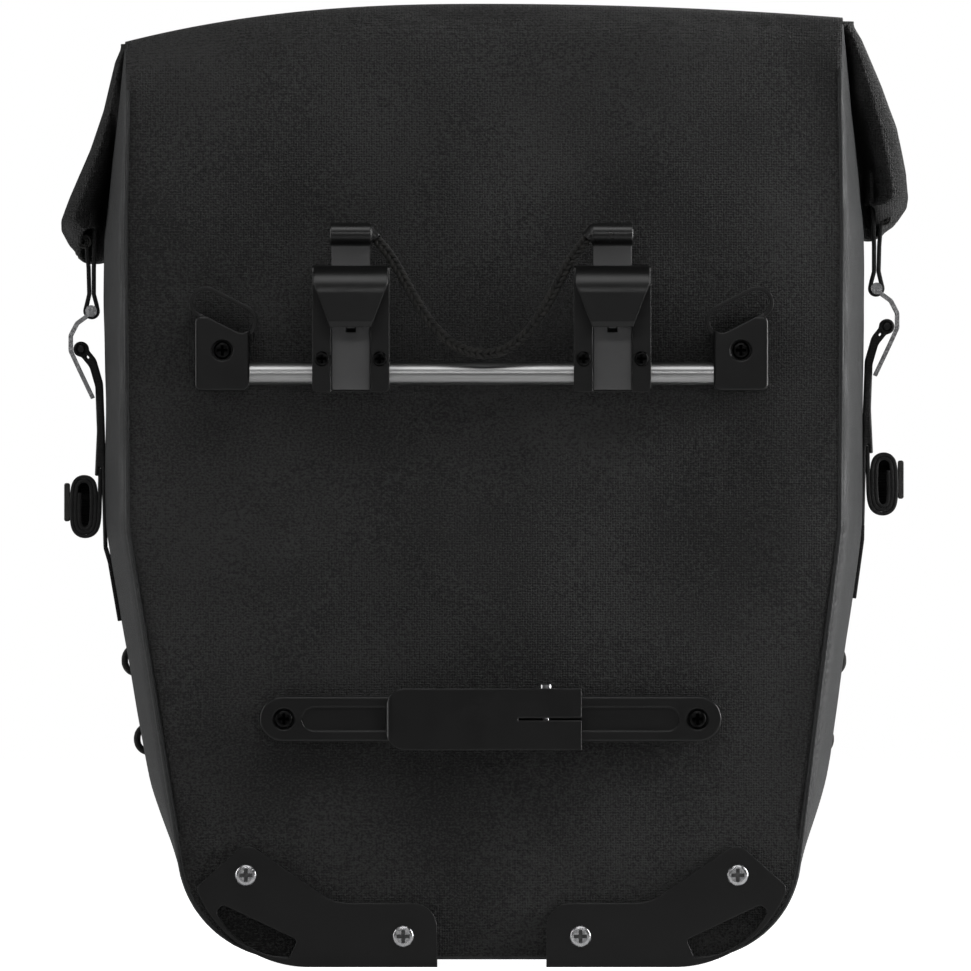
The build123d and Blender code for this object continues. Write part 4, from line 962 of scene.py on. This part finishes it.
for side, sign in SIDES.items():
    cloth = ear(side, sign)
    fix_normals(cloth)
    cloth.data.materials.append(MATERIALS["shell_fabric"])
    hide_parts(f"ear_{side}")
    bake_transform(cloth)
    finish_piece(ear_tape(side, sign), f"ear_{side}", "webbing", f"ear_webbing_{side}")
    # the knob is a fold of the black webbing, given the lighter grey elastic: painted highlight on the fold
    finish_piece(ear_knob(side, sign), f"ear_{side}", "grey_elastic")
    strap = softened(f"side_strap_{side}", f"side_tape_{side}", 0.5, 4)
    finish_piece(strap, f"strap_{side}", "webbing", f"side_strap_{side}")
    finish_piece(tail_roll(side, sign), f"strap_{side}", "webbing", f"strap_tail_{side}")
    keeper = softened(f"tail_keeper_{side}", f"keeper_band_{side}", 0.4, 3)
    finish_piece(keeper, f"strap_{side}", "grey_elastic", f"tail_keeper_{side}")
    finish_piece(tail_core(side, sign), f"strap_{side}", "webbing")
    finish_piece(strap_foot(side, sign), "root", "webbing", f"strap_patch_{side}")

finish_piece(softened("bungee_tabs", "bungee_loops", 0.5, 3), "root", "webbing", "bungee_tabs")
finish_piece(softened("bungee_cord", "bungee_line", 0.6, 4), "root", "cord", "bungee_cord")
finish_piece(roll_board(), "root", "inner_board", "roll_stiffener")

for side in SIDES:          # the return springs, which the latch slides press together
    coil = bpy.data.objects.new(f"spring_coil_{side}", frame["nodes"][f"latch_spring_{side}"].data.copy())
    bpy.context.scene.collection.objects.link(coil)
    finish_piece(coil, f"hook_{side}", "bright_steel", f"latch_spring_{side}")
    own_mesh(coil)

# ---------------------------------------------------------------- finish of the CAD nodes that show, and painted shade on some of their faces
SLOT_OF = {row["node"]: row["material_slot"] for row in frame["record"]["subparts"]}
for name, node in frame["nodes"].items():
    if not node.hide_render:
        node.data.materials.clear()
        node.data.materials.append(MATERIALS[SLOT_OF[name]])


def paint_shade_on_faces(node, material, chosen):
    """Give some faces of a CAD node another material, which paints shade on them."""
    mesh = frame["nodes"][node].data
    mesh.materials.append(material)
    for face in mesh.polygons:
        if chosen(face):
            face.material_index = 1


def screw_recess(node):
    """Test for the faces on the floors of a node's cross recesses, which get painted shade."""
    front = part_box(node)[0].y
    return lambda face: face.normal.y < -0.9 and RECESS_NEAR * MM < face.center.y - front < RECESS_FAR * MM


# painted shade in the cross recesses of the screws
paint_shade_on_faces("guard_screws", RECESS_SHADE_GREY, screw_recess("guard_screws"))
for name in ("bracket_screws", "lower_rail_screws", "clamp_screws_left", "clamp_screws_right"):
    paint_shade_on_faces(name, RECESS_SHADE_DARK, screw_recess(name))
# painted shade on the round handles of the latch slides
for side in SIDES:
    paint_shade_on_faces(f"latch_slide_{side}", BARREL_PAINTED_SHADE, lambda face: face.center.z > BARREL_Z * MM)
